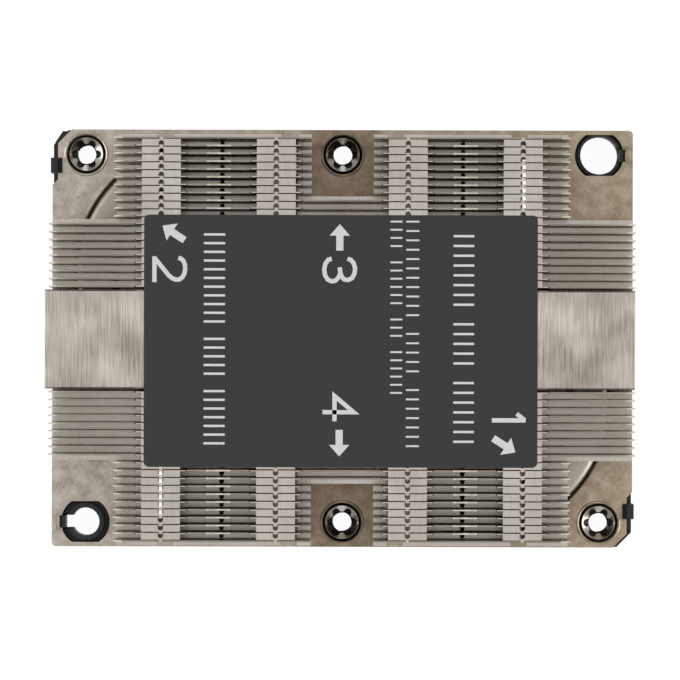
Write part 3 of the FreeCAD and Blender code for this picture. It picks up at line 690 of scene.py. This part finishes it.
@dataclass
class FinStack:
    """One stack of zipper fins, each pressed from a blank with tabs, windows and tongues.

    Places along the fins are given for the right half; the left half mirrors them.
    """

    stack: Stack
    finishes: Sequence[bpy.types.Material]
    sheet: FoldedSheet = field(default_factory=FoldedSheet)
    rows: int = 20
    split_from: int = 13
    middle_gap: float = 11.6
    strips: tuple[float, ...] = (12.13, 33.27)
    strip_width: float = 7.16
    window: float = 1.02
    window_reach: float = 1.08
    window_drop: float = 1.1
    tongue: float = 0.62
    tongue_reach: float = 0.44
    crown_drop: float = 0.5
    shoulder: float = 1.35
    shoulder_slope: float = 0.35
    shoulder_rise: float = 0.42
    shoulder_overlap: float = 0.05
    tip_run: float = 1.6
    tip_drop: float = 1.2
    outer_notches: tuple[Notch, ...] = (Notch(9.86, 1.5, 1.5), Notch(32.9, 1.5, 1.5))
    notches: tuple[Notch, ...] = (Notch(9.86, 1.5, 1.5), Notch(22.4, 0.30, 0.62),
                                  Notch(33.78, 0.31, 0.31))
    # Notch that takes a dark sheet of painted shade
    shaded_notch: int = 1
    humps: tuple[float, ...] = (22.7,)
    hump: tuple[Point, ...] = ((2.2, 0.0), (1.75, 0.26), (0.55, 0.26), (0.1, 0.08),
                               (-0.35, 0.26), (-1.75, 0.26), (-2.2, 0.0))
    notch_depth: float = 0.95
    notch_shade_depth: float = 0.08
    # Cut edges whose normal points up less than this take the painted shade
    level: float = 0.99
    arc_steps: int = 10

    @property
    def tarnished(self) -> Point:
        """Distances from the middle between which the webs take painted shade."""
        half = self.strip_width / 2
        return self.strips[0] + half, self.strips[1] - half

    def node(self, row: int) -> str:
        """Name of a row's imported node."""
        return "fin_%s_%02d" % (self.stack.name.lower(), row)

    def spot(self, row: int) -> tuple[float, float, float, float]:
        """Find where a row stands.

        Args:
            row: Number of the row, from the bar outwards.

        Returns:
            Its left and right ends, the Y of its web's back and the Z of its foot, in mm.
        """
        low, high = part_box(self.node(row))
        back = low.y if self.stack is Stack.UPPER else high.y
        return low.x / MM, high.x / MM, back / MM, low.z / MM

    def tongue_points(self, middle: float) -> list[Point]:
        """Outline a rounded tongue on the crown's edge, from right to left.

        Args:
            middle: X of its middle.

        Returns:
            Its points.
        """
        half = self.tongue / 2
        edge = self.sheet.crown(self.sheet.flange)
        return [(middle + half, edge),
                *half_round(middle, half, edge + self.tongue_reach - half, self.arc_steps),
                (middle - half, edge)]

    def window_points(self, middle: float) -> list[Point]:
        """Outline a window: square in the web, round at its outer end.

        Args:
            middle: X of its middle.

        Returns:
            Its closed loop.
        """
        half = self.window / 2
        low = self.sheet.web(self.sheet.height - self.window_drop)
        start = self.sheet.crown(self.window_reach) - half
        return [(middle - half, low), (middle + half, low),
                *half_round(middle, half, start, self.arc_steps)]

    def crown_points(self, left: float, right: float, top: float) -> list[Point]:
        """Outline the top edge of a crowned blank: tabs with tongues, shoulders and humps.

        Args:
            left: Left end of the blank.
            right: Its right end.
            top: Length along the blank of the open stretches' edge.

        Returns:
            Its points, from right to left.
        """
        half = self.strip_width / 2
        edge = self.sheet.crown(self.sheet.flange)
        raised = top + self.shoulder_rise
        reach = half + self.shoulder
        humps = [place for place in both_sides(self.humps) if left < place < right]
        points = []
        for place in reversed(both_sides(self.strips)):
            if not left < place < right:
                continue
            while humps and humps[-1] > place:
                hump = humps.pop()
                points += [(hump + across, top + rise) for across, rise in self.hump]
            points += [(place + reach, top), (place + reach - self.shoulder_slope, raised),
                       (place + half, raised), (place + half, edge)]
            points += self.tongue_points(place)
            points += [(place - half, edge), (place - half, raised),
                       (place - reach + self.shoulder_slope, raised), (place - reach, top)]
        return points

    def blank(self, left: float, right: float, left_tip: bool, right_tip: bool,
              crowned: bool) -> list[list[Point]]:
        """Outline one pressed blank, with its windows.

        Args:
            left: Its left end.
            right: Its right end.
            left_tip: Whether the left end is sloped.
            right_tip: Whether the right end is sloped.
            crowned: Whether it has top tabs with tongues.

        Returns:
            The outline and then the windows, as closed loops.
        """
        sheet = self.sheet
        top = sheet.web(sheet.height - self.crown_drop) if crowned else sheet.crown_bend
        tip = sheet.web(sheet.height - self.tip_drop)
        notches = self.notches if crowned else self.outer_notches
        outline = [(left, 0.0)]
        for notch in [notch.mirrored() for notch in reversed(notches)] + list(notches):
            if left < notch.place < right:
                outline += notch.outline(self.notch_depth)
        outline.append((right, 0.0))
        outline += [(right, tip), (right - self.tip_run, top)] if right_tip else [(right, top)]
        if crowned:
            outline += self.crown_points(left, right, top)
        outline += [(left + self.tip_run, top), (left, tip)] if left_tip else [(left, top)]
        if not crowned:
            return [outline]
        return [outline] + [self.window_points(place) for place in both_sides(self.strips)
                            if left < place < right]

    def folded(self, loops: list[list[Point]], back: float, foot: float) -> bmesh.types.BMesh:
        """Fold a filled blank into the stack.

        Args:
            loops: Outline and windows of the blank.
            back: Y of the back of the web, in mm.
            foot: Z of the underside of the foot, in mm.

        Returns:
            The middle surface, in metres.
        """
        flat = filled(loops)
        cuts = [(Vector((0.0, crease, 0.0)), Vector((0.0, 1.0, 0.0)))
                for crease in self.sheet.creases()]
        # Extra cuts where the painted shade on the webs begins and ends
        cuts += [(Vector((side * place, 0.0, 0.0)), Vector((1.0, 0.0, 0.0)))
                 for side in (-1, 1) for place in self.tarnished]
        for place, normal in cuts:
            geometry = flat.verts[:] + flat.edges[:] + flat.faces[:]
            bmesh.ops.bisect_plane(flat, geom=geometry, dist=CUT_TOLERANCE, plane_co=place,
                                   plane_no=normal)
        for face in flat.faces:
            middle = face.calc_center_median()
            if self.sheet.flat + self.sheet.arc < middle.y < self.sheet.crown_bend:
                face.material_index = FinFace.WEB
        for corner in flat.verts:
            out, height = self.sheet.fold(corner.co.y)
            corner.co = Vector((corner.co.x, back + self.stack.value * out, foot + height)) * MM
        bmesh.ops.recalc_face_normals(flat, faces=flat.faces[:])
        return flat

    def finish_faces(self, mesh: bpy.types.Mesh, crowned: bool) -> None:
        """Paint a highlight on the flat tops of shoulders and humps, and shade on the webs between
        the strips and on sloped and upright cut edges.

        Args:
            mesh: Mesh of a fin.
            crowned: Whether it has top tabs.
        """
        half = self.strip_width / 2
        inner, outer = self.tarnished
        for face in mesh.polygons:
            across = abs(face.center.x) / MM
            if face.material_index >= FinFace.EDGE:
                raised = any(half - self.shoulder_overlap < abs(across - place) < half + self.shoulder
                             for place in self.strips)
                humped = any(abs(across - place) < self.hump[0][0] for place in self.humps)
                # Painted shade: sloped and upright cut edges take the darker finish
                if face.normal.z <= self.level:
                    face.material_index = FinFace.TARNISHED
                # Painted highlight: the flat tops of shoulders and humps take the brighter, smoother
                # flange finish
                elif crowned and (raised or humped):
                    face.material_index = FinFace.FLANGE
                else:
                    face.material_index = FinFace.EDGE
            # Painted shade on the webs between the two strips on each side
            elif crowned and face.material_index == FinFace.WEB and inner < across < outer:
                face.material_index = FinFace.TARNISHED

    def build_notch_shade(self, finish: bpy.types.Material) -> None:
        """Lay a dark sheet in the middle notches of the feet as painted shade, in one piece.

        Args:
            finish: Its finish.
        """
        notch = self.notches[self.shaded_notch]
        shade_patches = []
        for row in range(1, self.rows):
            _, _, back, foot = self.spot(row)
            for place in (notch.mirrored(), notch):
                shade_patch = filled([place.outline(self.notch_depth)])
                for corner in shade_patch.verts:
                    out = self.stack.value * (self.sheet.flange - corner.co.y)
                    corner.co = Vector((corner.co.x, back + out, foot + self.notch_shade_depth / 2)) * MM
                shade_patches.append(shade_patch)
        name = "notch_painted_shade_" + self.stack.name.lower()
        make_piece(name, thickened(joined(shade_patches, name), self.notch_shade_depth * MM), [finish])

    def build(self) -> None:
        """Press, fold and place all fins of the stack, from the bar outwards."""
        for row in range(1, self.rows + 1):
            left, right, back, foot = self.spot(row)
            crowned = row < self.rows
            half_gap = self.middle_gap / 2
            if row < self.split_from:
                blanks = [self.blank(left, right, True, True, crowned)]
            else:
                blanks = [self.blank(left, -half_gap, True, False, crowned),
                          self.blank(half_gap, right, False, True, crowned)]
            name = self.node(row) + "_sheet"
            whole = joined((self.folded(loops, back, foot) for loops in blanks), name)
            mesh = thickened(whole, self.sheet.gauge * MM, edge_number=FinFace.EDGE)
            self.finish_faces(mesh, crowned)
            make_piece(name, mesh, self.finishes, stands_for=self.node(row))


# ---------------------------------------------------------------- captive nuts
@dataclass
class CaptiveNut:
    """Turned nut: a head with a conical lead-in, a six-lobe socket and a fine thread."""

    number: int
    finishes: Sequence[bpy.types.Material]
    head: float = 3.55
    head_height: float = 2.55
    bevel: float = 0.45
    bevel_drop: float = 0.90
    rim: float = 0.05
    lead: float = 0.60
    socket_slope: float = 0.7
    core: float = 2.0
    lobe_place: float = 2.05
    lobe: float = 0.72
    lobes: int = 6
    socket: float = 2.2
    shank: float = 2.9
    neck: float = 2.45
    foot_bevel: float = 0.3
    ring_gap: float = 0.05
    thread: float = 1.73
    thread_pitch: float = 0.5
    thread_depth: float = 0.22
    thread_steps: int = 4
    turns: int = 144
    socket_start: int = 9

    def socket_radius(self, angle: float) -> float:
        """Find the socket's wall.

        Args:
            angle: Direction from the axis in radians.

        Returns:
            Distance of the wall from the axis.
        """
        step = math.tau / self.lobes
        off = (angle + step / 2) % step - step / 2
        across = self.lobe_place * math.sin(off)
        if abs(across) >= self.lobe:
            return self.core
        reach = self.lobe_place * math.cos(off) + math.sqrt(self.lobe ** 2 - across ** 2)
        return max(self.core, reach)

    def section(self, angle: float, low: float, top: float, shoulder: float) -> list[Point]:
        """Cut the nut from its axis outwards in one direction.

        Args:
            angle: The direction in radians.
            low: Z of the foot.
            top: Z of the head's top.
            shoulder: Z of the shoulder that the ring sits under.

        Returns:
            Radius and height of each corner, round the closed section.
        """
        under = top - self.head_height
        mouth = self.head - self.bevel - self.rim
        floor = top - self.socket
        wall = self.socket_radius(angle)
        groove = self.thread + self.thread_depth
        points = [
            (self.neck - self.foot_bevel, low), (self.neck, low + self.foot_bevel),
            (self.neck, shoulder), (self.shank, shoulder),
            (self.shank, under), (self.head, under),
            (self.head, top - self.bevel_drop), (self.head - self.bevel, top),
            (mouth, top), (wall, top - self.lead * (mouth - wall) / (mouth - self.core)),
            (wall, floor + self.socket_slope), (groove, floor),
        ]
        rise = self.thread_pitch / self.thread_steps
        for ring in range(1, int((floor - low) / rise)):
            height = floor - ring * rise
            phase = (height / self.thread_pitch + angle / math.tau) % 1.0
            points.append((self.thread + self.thread_depth * abs(2 * phase - 1), height))
        points.append((groove, low))
        return points

    def build(self) -> None:
        """Turn the nut on its axis."""
        node = "captive_nut_%d" % self.number
        low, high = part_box(node)
        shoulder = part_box("retaining_ring_%d" % self.number)[1].z / MM + self.ring_gap
        axis = nut_axis(self.number)
        sections = []
        for turn in range(self.turns):
            angle = math.tau * turn / self.turns
            corners = self.section(angle, low.z / MM, high.z / MM, shoulder)
            sections.append([around(axis, radius, angle, height * MM) for radius, height in corners])
        # The socket, its floor and the thread take the second finish, which paints shade into the
        # recess
        shape = skinned(sections, looped=True, second_from=self.socket_start)
        make_piece(node + "_turned", to_mesh(shape, node), self.finishes,
                   body="nut_%d" % self.number, stands_for=node)


@dataclass
class SeatLip:
    """Bright lip that the counterbore leaves round a nut's seat, a hair above the plate."""

    number: int
    finish: bpy.types.Material
    inner: float = 3.66
    outer: float = 4.12
    rise: float = 0.10
    turns: int = 96
    arc_steps: int = 6

    def build(self) -> None:
        """Turn the lip round the nut's axis."""
        axis = nut_axis(self.number)
        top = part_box("base_plate")[1].z
        shares = [step / self.arc_steps for step in range(self.arc_steps + 1)]
        arch = [(self.inner + (self.outer - self.inner) * share,
                 top + self.rise * math.sin(math.pi * share) * MM) for share in shares]
        angles = [math.tau * turn / self.turns for turn in range(self.turns)]
        sections = [[around(axis, radius, angle, height) for radius, height in arch]
                    for angle in angles]
        name = "seat_lip_%d" % self.number
        make_piece(name, to_mesh(skinned(sections, looped=True), name), [self.finish])


@dataclass
class RetainingRing:
    """Sprung ring round the nut's neck, open on one side.

    The mouth is the angle from +X to each of its ends, in degrees, and the play is the gap that
    is left under the plate when the nut is lifted.
    """

    number: int
    finish: bpy.types.Material
    inner: float = 2.5
    outer: float = 4.0
    mouth: float = 20.0
    play: float = 0.02
    turns: int = 80

    def build(self) -> None:
        """Bend the ring round the nut's axis."""
        node = "retaining_ring_%d" % self.number
        axis = nut_axis(self.number)
        low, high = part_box(node)
        top = high.z - self.play * MM
        wire = [(self.inner, low.z), (self.outer, low.z), (self.outer, top), (self.inner, top)]
        span = 360.0 - 2 * self.mouth
        angles = [math.radians(self.mouth + span * turn / self.turns)
                  for turn in range(self.turns + 1)]
        sections = [[around(axis, radius, angle, height) for radius, height in wire]
                    for angle in angles]
        make_piece(node + "_round", to_mesh(skinned(sections, looped=False), node), [self.finish],
                   body="ring_%d" % self.number, stands_for=node)


# ---------------------------------------------------------------- pipes and carrier
@dataclass
class HeatPipe:
    """Flattened pipe with round flanks, bent to a U and spun shut at its ends.

    The sizes are those of the first pipe; the second one is the first, turned half a turn. The
    spun ends are pairs of a run from the end and the section's scale there.
    """

    number: int
    finish: bpy.types.Material
    width: float = 8.0
    gauge: float = 3.0
    outer_leg: float = -7.4
    bend_steps: int = 64
    flank_steps: int = 12
    spun: tuple[Point, ...] = ((0.0, 0.45), (0.5, 0.75), (1.2, 0.93), (2.2, 1.0))

    def section(self) -> list[Point]:
        """Cut the pipe across.

        Returns:
            Distance out of the bend and height over the pipe's middle, round the section.
        """
        half = self.gauge / 2
        points = []
        for side in (1, -1):
            for step in range(self.flank_steps + 1):
                angle = math.pi / 2 - math.pi * step / self.flank_steps
                points.append((side * (self.width / 2 - half + half * math.cos(angle)),
                               side * half * math.sin(angle)))
        return points

    def stations(self, left: float, top: float, right: float,
                 low: float) -> list[tuple[Vector, Vector, float]]:
        """Walk along the pipe's middle.

        Args:
            left: Left reach of the pipe.
            top: Upper reach.
            right: Right reach of the inner leg.
            low: Lower reach.

        Returns:
            Place, direction out of the bend, and the section's scale, at each station.
        """
        bend = (top - low - self.width) / 2
        centre = Vector((left + self.width / 2 + bend, (top + low) / 2, 0.0))
        up, down = Vector((0.0, 1.0, 0.0)), Vector((0.0, -1.0, 0.0))
        path = [(Vector((self.outer_leg - run, centre.y + bend, 0.0)), up, scale)
                for run, scale in self.spun]
        for step in range(self.bend_steps + 1):
            angle = math.pi / 2 + math.pi * step / self.bend_steps
            out = Vector((math.cos(angle), math.sin(angle), 0.0))
            path.append((centre + out * bend, out, 1.0))
        path += [(Vector((right - run, centre.y - bend, 0.0)), down, scale)
                 for run, scale in reversed(self.spun)]
        return path

    def build(self) -> None:
        """Sweep the section along the bent pipe."""
        node = "heat_pipe_%d" % self.number
        low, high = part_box(node)
        middle = (low.z + high.z) / 2 / MM
        turned = 1.0 if self.number == 1 else -1.0
        if self.number == 1:
            reach = (low.x / MM, high.y / MM, high.x / MM, low.y / MM)
        else:
            reach = (-high.x / MM, -low.y / MM, -low.x / MM, -high.y / MM)
        sections = []
        for place, out, scale in self.stations(*reach):
            ring = []
            for across, height in self.section():
                point = (place + out * across * scale) * turned
                ring.append(Vector((point.x, point.y, middle + height * scale)) * MM)
            sections.append(ring)
        make_piece(node + "_bent", to_mesh(skinned(sections, looped=False), node), [self.finish],
                   stands_for=node)


@dataclass
class CarrierCorner:
    """Thin rim of the carrier that shows past the plate's cut corner."""

    number: int
    finish: bpy.types.Material
    outline: tuple[Point, ...] = (
        (53.70, -25.6), (53.92, -25.9), (53.97, -36.05), (51.25, -38.79), (50.2, -38.79),
        (53.15, -35.4), (53.70, -34.9))
    low: float = -1.6
    high: float = 0.2

    def build(self) -> None:
        """Mould the rim, the second one turned half a turn."""
        turned = 1.0 if self.number == 1 else -1.0
        shape = filled([self.outline])
        for corner in shape.verts:
            corner.co = Vector((turned * corner.co.x, turned * corner.co.y,
                                (self.low + self.high) / 2)) * MM
        name = "carrier_corner_%d" % self.number
        mesh = thickened(to_mesh(shape, name), (self.high - self.low) * MM)
        make_piece(name, mesh, [self.finish])


# ---------------------------------------------------------------- label print
class Numeral(Enum):
    """Pen paths of the numerals, each from the left end of its foot."""

    ONE = (((0.15, 4.55), (1.35, 6.05)), ((1.35, 6.2), (1.35, 0.0)))
    TWO = (((0.40, 4.75), (0.52, 5.25), (0.95, 5.70), (1.60, 5.96), (2.45, 6.02), (3.25, 5.88),
            (3.95, 5.50), (4.35, 4.92), (4.40, 4.30), (4.15, 3.65), (3.55, 2.95), (0.45, 0.42)),
           ((0.10, 0.36), (4.85, 0.36)))
    THREE = (((0.36, 4.62), (0.55, 5.20), (1.15, 5.75), (2.10, 6.02), (3.05, 5.92), (3.90, 5.48),
              (4.25, 4.80), (4.20, 4.10), (3.75, 3.60), (3.00, 3.32), (1.95, 3.18)),
             ((3.00, 3.32), (3.80, 2.98), (4.40, 2.40), (4.52, 1.72), (4.20, 1.00), (3.40, 0.50),
              (2.35, 0.34), (1.30, 0.55), (0.55, 1.10), (0.36, 1.72)))
    FOUR = (((3.38, 0.0), (3.38, 5.72), (0.40, 2.20), (5.05, 2.20)),)


@dataclass
class Instruction:
    """One numeral on the label and the plain arrow beside it.

    Fields: the digit in the piece's name, its pen paths, the place of its foot's left end, the
    arrow's point and its heading in degrees. The numerals read from the left side of the plate.
    """

    name: str
    numeral: Numeral
    corner: Point
    point: Point
    heading: float


@dataclass
class TallyColumn:
    """A column of plain strokes in groups, which fills the place of small print."""

    left: float
    right: float
    top: float
    groups: tuple[int, ...]
    pitch: float
    stroke: float

    def loops(self) -> list[list[Point]]:
        """Outline the strokes, a pitch left free after each group.

        Returns:
            A closed loop for each stroke.
        """
        loops = []
        place = self.top
        for group in self.groups:
            for _ in range(group):
                foot = place - self.stroke
                loops.append([(self.left, foot), (self.right, foot), (self.right, place),
                              (self.left, place)])
                place -= self.pitch
            place -= self.pitch
        return loops


@dataclass
class LabelPrint:
    """White print on the label: four numerals with arrows, and columns of plain strokes."""

    ink: bpy.types.Material
    film: float = 0.012
    stroke_rise: float = 0.0015
    pen: float = 0.80
    mitre: float = 0.35
    arrow_length: float = 4.87
    arrow_head: float = 2.12
    arrow_half: float = 1.87
    arrow_shaft: float = 0.66
    instructions: tuple[Instruction, ...] = (
        Instruction("2", Numeral.TWO, (-34.85, 15.05), (-33.03, 20.58), 146.8),
        Instruction("3", Numeral.THREE, (-3.62, 14.95), (-0.42, 20.95), 90.0),
        Instruction("4", Numeral.FOUR, (-3.52, -10.25), (-0.45, -21.75), -90.0),
        Instruction("1", Numeral.ONE, (27.63, -13.70), (31.96, -20.95), -32.4),
    )
    columns: tuple[TallyColumn, ...] = (
        TallyColumn(-25.4, -21.5, 19.2, (11, 5, 7), 1.60, 0.42),
        TallyColumn(8.9, 11.1, 21.6, (4, 6, 3, 6), 1.50, 0.32),
        TallyColumn(11.8, 14.2, 21.6, (11, 5, 7), 1.72, 0.32),
        TallyColumn(20.5, 24.3, 19.0, (8, 5, 7), 1.80, 0.42),
    )

    def stroke(self, path: Sequence[Point]) -> list[Point]:
        """Outline a pen's stroke, mitred at its turns.

        Args:
            path: Points that the pen runs through.

        Returns:
            The closed outline.
        """
        left, right = [], []
        points = [Vector(point) for point in path]
        for index, point in enumerate(points):
            before = (point - points[index - 1]).normalized() if index else None
            after = (points[index + 1] - point).normalized() if index + 1 < len(points) else None
            before, after = before or after, after or before
            along = (before + after).normalized()
            width = self.pen / 2 / max(along.dot(before), self.mitre)
            side = Vector((-along.y, along.x)) * width
            left.append(tuple(point + side))
            right.append(tuple(point - side))
        return left + right[::-1]

    def arrow(self, mark: Instruction) -> list[Point]:
        """Outline a plain arrow with a broad head.

        Args:
            mark: The mark that the arrow belongs to.

        Returns:
            The closed outline.
        """
        upper = [(-self.arrow_head, self.arrow_half), (-self.arrow_head, self.arrow_shaft),
                 (-self.arrow_length, self.arrow_shaft)]
        outline = [(0.0, 0.0)] + upper + [(x, -y) for x, y in reversed(upper)]
        turn = math.radians(mark.heading)
        return [(mark.point[0] + x * math.cos(turn) - y * math.sin(turn),
                 mark.point[1] + x * math.sin(turn) + y * math.cos(turn)) for x, y in outline]

    def film_piece(self, name: str, loops: list[list[Point]], base: float) -> None:
        """Lay one film of ink on the label.

        Args:
            name: Name of the piece.
            loops: Closed loops, one for each patch of ink.
            base: Z of the film's underside in metres.
        """
        patches = [filled([loop]) for loop in loops]
        for patch in patches:
            for corner in patch.verts:
                corner.co = Vector((corner.co.x * MM, corner.co.y * MM, base + self.film * MM / 2))
        make_piece(name, thickened(joined(patches, name), self.film * MM), [self.ink])

    def build(self) -> None:
        """Print everything on the label's face."""
        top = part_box("label")[1].z
        for mark in self.instructions:
            for count, path in enumerate(mark.numeral.value):
                outline = [(mark.corner[0] + y, mark.corner[1] - x) for x, y in self.stroke(path)]
                self.film_piece("print_numeral_%s_%d" % (mark.name, count + 1), [outline],
                                top + count * self.stroke_rise * MM)
            self.film_piece("print_arrow_" + mark.name, [self.arrow(mark)], top)
        for count, column in enumerate(self.columns, start=1):
            self.film_piece("print_column_%d" % count, column.loops(), top)


# ---------------------------------------------------------------- studio
@dataclass
class SoftBox:
    """Square soft box that faces the heatsink: name, place and side in metres, and watts."""

    name: str
    place: tuple[float, float, float]
    side: float
    watts: float

    def build(self) -> None:
        """Hang the soft box."""
        light = bpy.data.lights.new(self.name, "AREA")
        light.shape = "SQUARE"
        light.size = self.side
        light.energy = self.watts
        holder = bpy.data.objects.new(self.name, light)
        bpy.context.collection.objects.link(holder)
        holder.location = self.place
        holder.rotation_euler = (-Vector(self.place)).to_track_quat("-Z", "Y").to_euler()


@dataclass
class Studio:
    """White floor and surround, soft boxes on all four sides, and a camera straight above.

    Lengths are metres, apart from the lens and the sensor, which are millimetres. The surround's
    levels are those of its light from the sides, the front, the back and overhead; its bands are
    the parts of the unit direction over which one level passes into the next.
    """

    floor_reach: float = 3.0
    floor_gap: float = 0.00005
    floor_albedo: float = 0.12
    floor_glow: float = 0.96
    overhead_level: float = 0.98
    overhead_band: Point = (0.62, 0.90)
    side_level: float = 1.6
    side_power: float = 2.8
    front_level: float = 0.22
    back_level: float = 0.34
    front_band: Point = (-0.85, 0.25)
    horizon_share: float = 0.15
    horizon_band: Point = (0.20, 0.50)
    sensor: float = 36.0
    lens: float = 469.2
    lens_shift: Point = (-0.0586, 0.0445)
    camera_place: tuple[float, float, float] = (0.0070, -0.0059, 1.6550)
    camera_turn: float = math.radians(0.15)
    soft_boxes: tuple[SoftBox, ...] = (
        SoftBox("left_soft_box", (-1.1, -0.10, 0.95), 1.0, 7.0),
        SoftBox("right_soft_box", (1.1, -0.10, 0.95), 1.0, 7.0),
        SoftBox("front_soft_box", (0.0, -1.20, 0.80), 0.7, 1.5),
        SoftBox("back_soft_box", (0.0, 1.20, 0.80), 0.4, 0.8),
    )

    def floor_material(self) -> bpy.types.Material:
        """Make the paper of the floor: white to the eye, dim as a light, clear from below.

        Returns:
            The material.
        """
        material, tree = new_material("white_paper_floor")
        rays = add_node(tree, "ShaderNodeLightPath").outputs
        seen = calculate(tree, "MAXIMUM", rays["Is Camera Ray"], rays["Is Glossy Ray"])
        seen = calculate(tree, "MAXIMUM", seen, rays["Is Transmission Ray"])
        glow_level = calculate(tree, "MULTIPLY", seen, self.floor_glow)
        glow = add_node(tree, "ShaderNodeEmission", {"Strength": glow_level})
        paper = add_node(tree, "ShaderNodeBsdfDiffuse", {"Color": (self.floor_albedo,) * 3 + (1.0,)})
        both = add_node(tree, "ShaderNodeAddShader", {0: glow.outputs[0], 1: paper.outputs[0]})
        below = add_node(tree, "ShaderNodeNewGeometry").outputs["Backfacing"]
        clear = add_node(tree, "ShaderNodeBsdfTransparent")
        sheet = add_node(tree, "ShaderNodeMixShader",
                         {"Fac": below, 1: both.outputs[0], 2: clear.outputs[0]})
        add_node(tree, "ShaderNodeOutputMaterial", {"Surface": sheet.outputs[0]})
        return material

    def build_floor(self) -> None:
        """Lay the floor a hair below the heatsink."""
        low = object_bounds()[0][2] - self.floor_gap
        reach = self.floor_reach
        shape = bmesh.new()
        shape.faces.new([shape.verts.new((x * reach, y * reach, low))
                         for x, y in ((-1, -1), (1, -1), (1, 1), (-1, 1))])
        floor = bpy.data.objects.new("studio_floor", to_mesh(shape, "studio_floor"))
        bpy.context.collection.objects.link(floor)
        floor.data.materials.append(self.floor_material())
        floor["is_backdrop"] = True

    def build_world(self) -> None:
        """Surround the studio: white to the camera, brighter left and right in reflections."""
        world = bpy.data.worlds.new("studio")
        bpy.context.scene.world = world
        world.use_nodes = True
        tree = world.node_tree
        tree.nodes.clear()
        seen = add_node(tree, "ShaderNodeLightPath").outputs["Is Camera Ray"]
        direction = add_node(tree, "ShaderNodeTexCoord").outputs["Generated"]
        parts = add_node(tree, "ShaderNodeSeparateXYZ", {0: direction}).outputs
        sideways = calculate(tree, "POWER", calculate(tree, "ABSOLUTE", parts["X"]), self.side_power)
        sides = calculate(tree, "MULTIPLY", sideways, self.side_level)
        risen = ranged(tree, parts["Z"], self.horizon_band, (self.horizon_share, 1.0), smooth=True)
        front = ranged(tree, parts["Y"], self.front_band, (self.front_level, self.back_level),
                       smooth=True)
        high = ranged(tree, parts["Z"], self.overhead_band, smooth=True)
        over = add_node(tree, "ShaderNodeMix", {0: high, 2: front, 3: self.overhead_level},
                        data_type="FLOAT").outputs[0]
        level = calculate(tree, "MULTIPLY", calculate(tree, "ADD", sides, over), risen)
        surround = add_node(tree, "ShaderNodeBackground", {"Strength": level})
        white = add_node(tree, "ShaderNodeBackground", {"Strength": 1.0})
        mixed = add_node(tree, "ShaderNodeMixShader",
                         {"Fac": seen, 1: surround.outputs[0], 2: white.outputs[0]})
        add_node(tree, "ShaderNodeOutputWorld", {"Surface": mixed.outputs[0]})

    def build_camera(self) -> None:
        """Hang the camera far above, over the lower right of the plate's middle."""
        optics = bpy.data.cameras.new("studio_camera")
        optics.sensor_width = self.sensor
        optics.lens = self.lens
        optics.shift_x, optics.shift_y = self.lens_shift
        camera = bpy.data.objects.new("studio_camera", optics)
        bpy.context.collection.objects.link(camera)
        camera.location = self.camera_place
        camera.rotation_euler = (0.0, 0.0, self.camera_turn)
        bpy.context.scene.camera = camera

    def build(self) -> None:
        """Set up the floor, the surround, the lamps and the camera."""
        self.build_floor()
        self.build_world()
        for soft_box in self.soft_boxes:
            soft_box.build()
        self.build_camera()
        bpy.context.scene.view_settings.view_transform = "Standard"
        LOG.info("studio ready")


def main() -> None:
    """Load the frame, build and dress every piece, and set up the studio."""
    logging.basicConfig(level=logging.INFO, format="%(name)s: %(message)s")
    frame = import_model()
    nodes = frame["nodes"]

    fin_finishes = [metal.material()
                    for metal in (FIN_NICKEL, WEB_NICKEL, EDGE_NICKEL, PAINTED_SHADE_NICKEL)]
    notch_shade_finish = NOTCH_PAINTED_SHADE.material()
    for stack in Stack:
        fins = FinStack(stack, fin_finishes)
        fins.build()
        fins.build_notch_shade(notch_shade_finish)
    nut_finishes = [NUT_NICKEL.material(), SOCKET_PAINTED_SHADE.material()]
    ring_finish = SPRING_STEEL.material()
    for number in NUTS:
        CaptiveNut(number, nut_finishes).build()
        RetainingRing(number, ring_finish).build()
    base_finish = BASE_NICKEL.material()
    for number in NUTS:
        SeatLip(number, base_finish).build()
    dress(nodes, "base_plate", base_finish)
    dress(nodes, "centre_bar", BAR_NICKEL.material())
    pipe_finish = PIPE_NICKEL.material()
    for number in (1, 2):
        HeatPipe(number, pipe_finish).build()
    dress(nodes, "label", LABEL_GROUND.material())
    LabelPrint(LABEL_INK.material()).build()
    carrier_finish = CARRIER_PLASTIC.material()
    dress(nodes, "processor_carrier", carrier_finish)
    for number in (1, 2):
        CarrierCorner(number, carrier_finish).build()

    Studio().build()


if __name__ == "__main__":
    main()
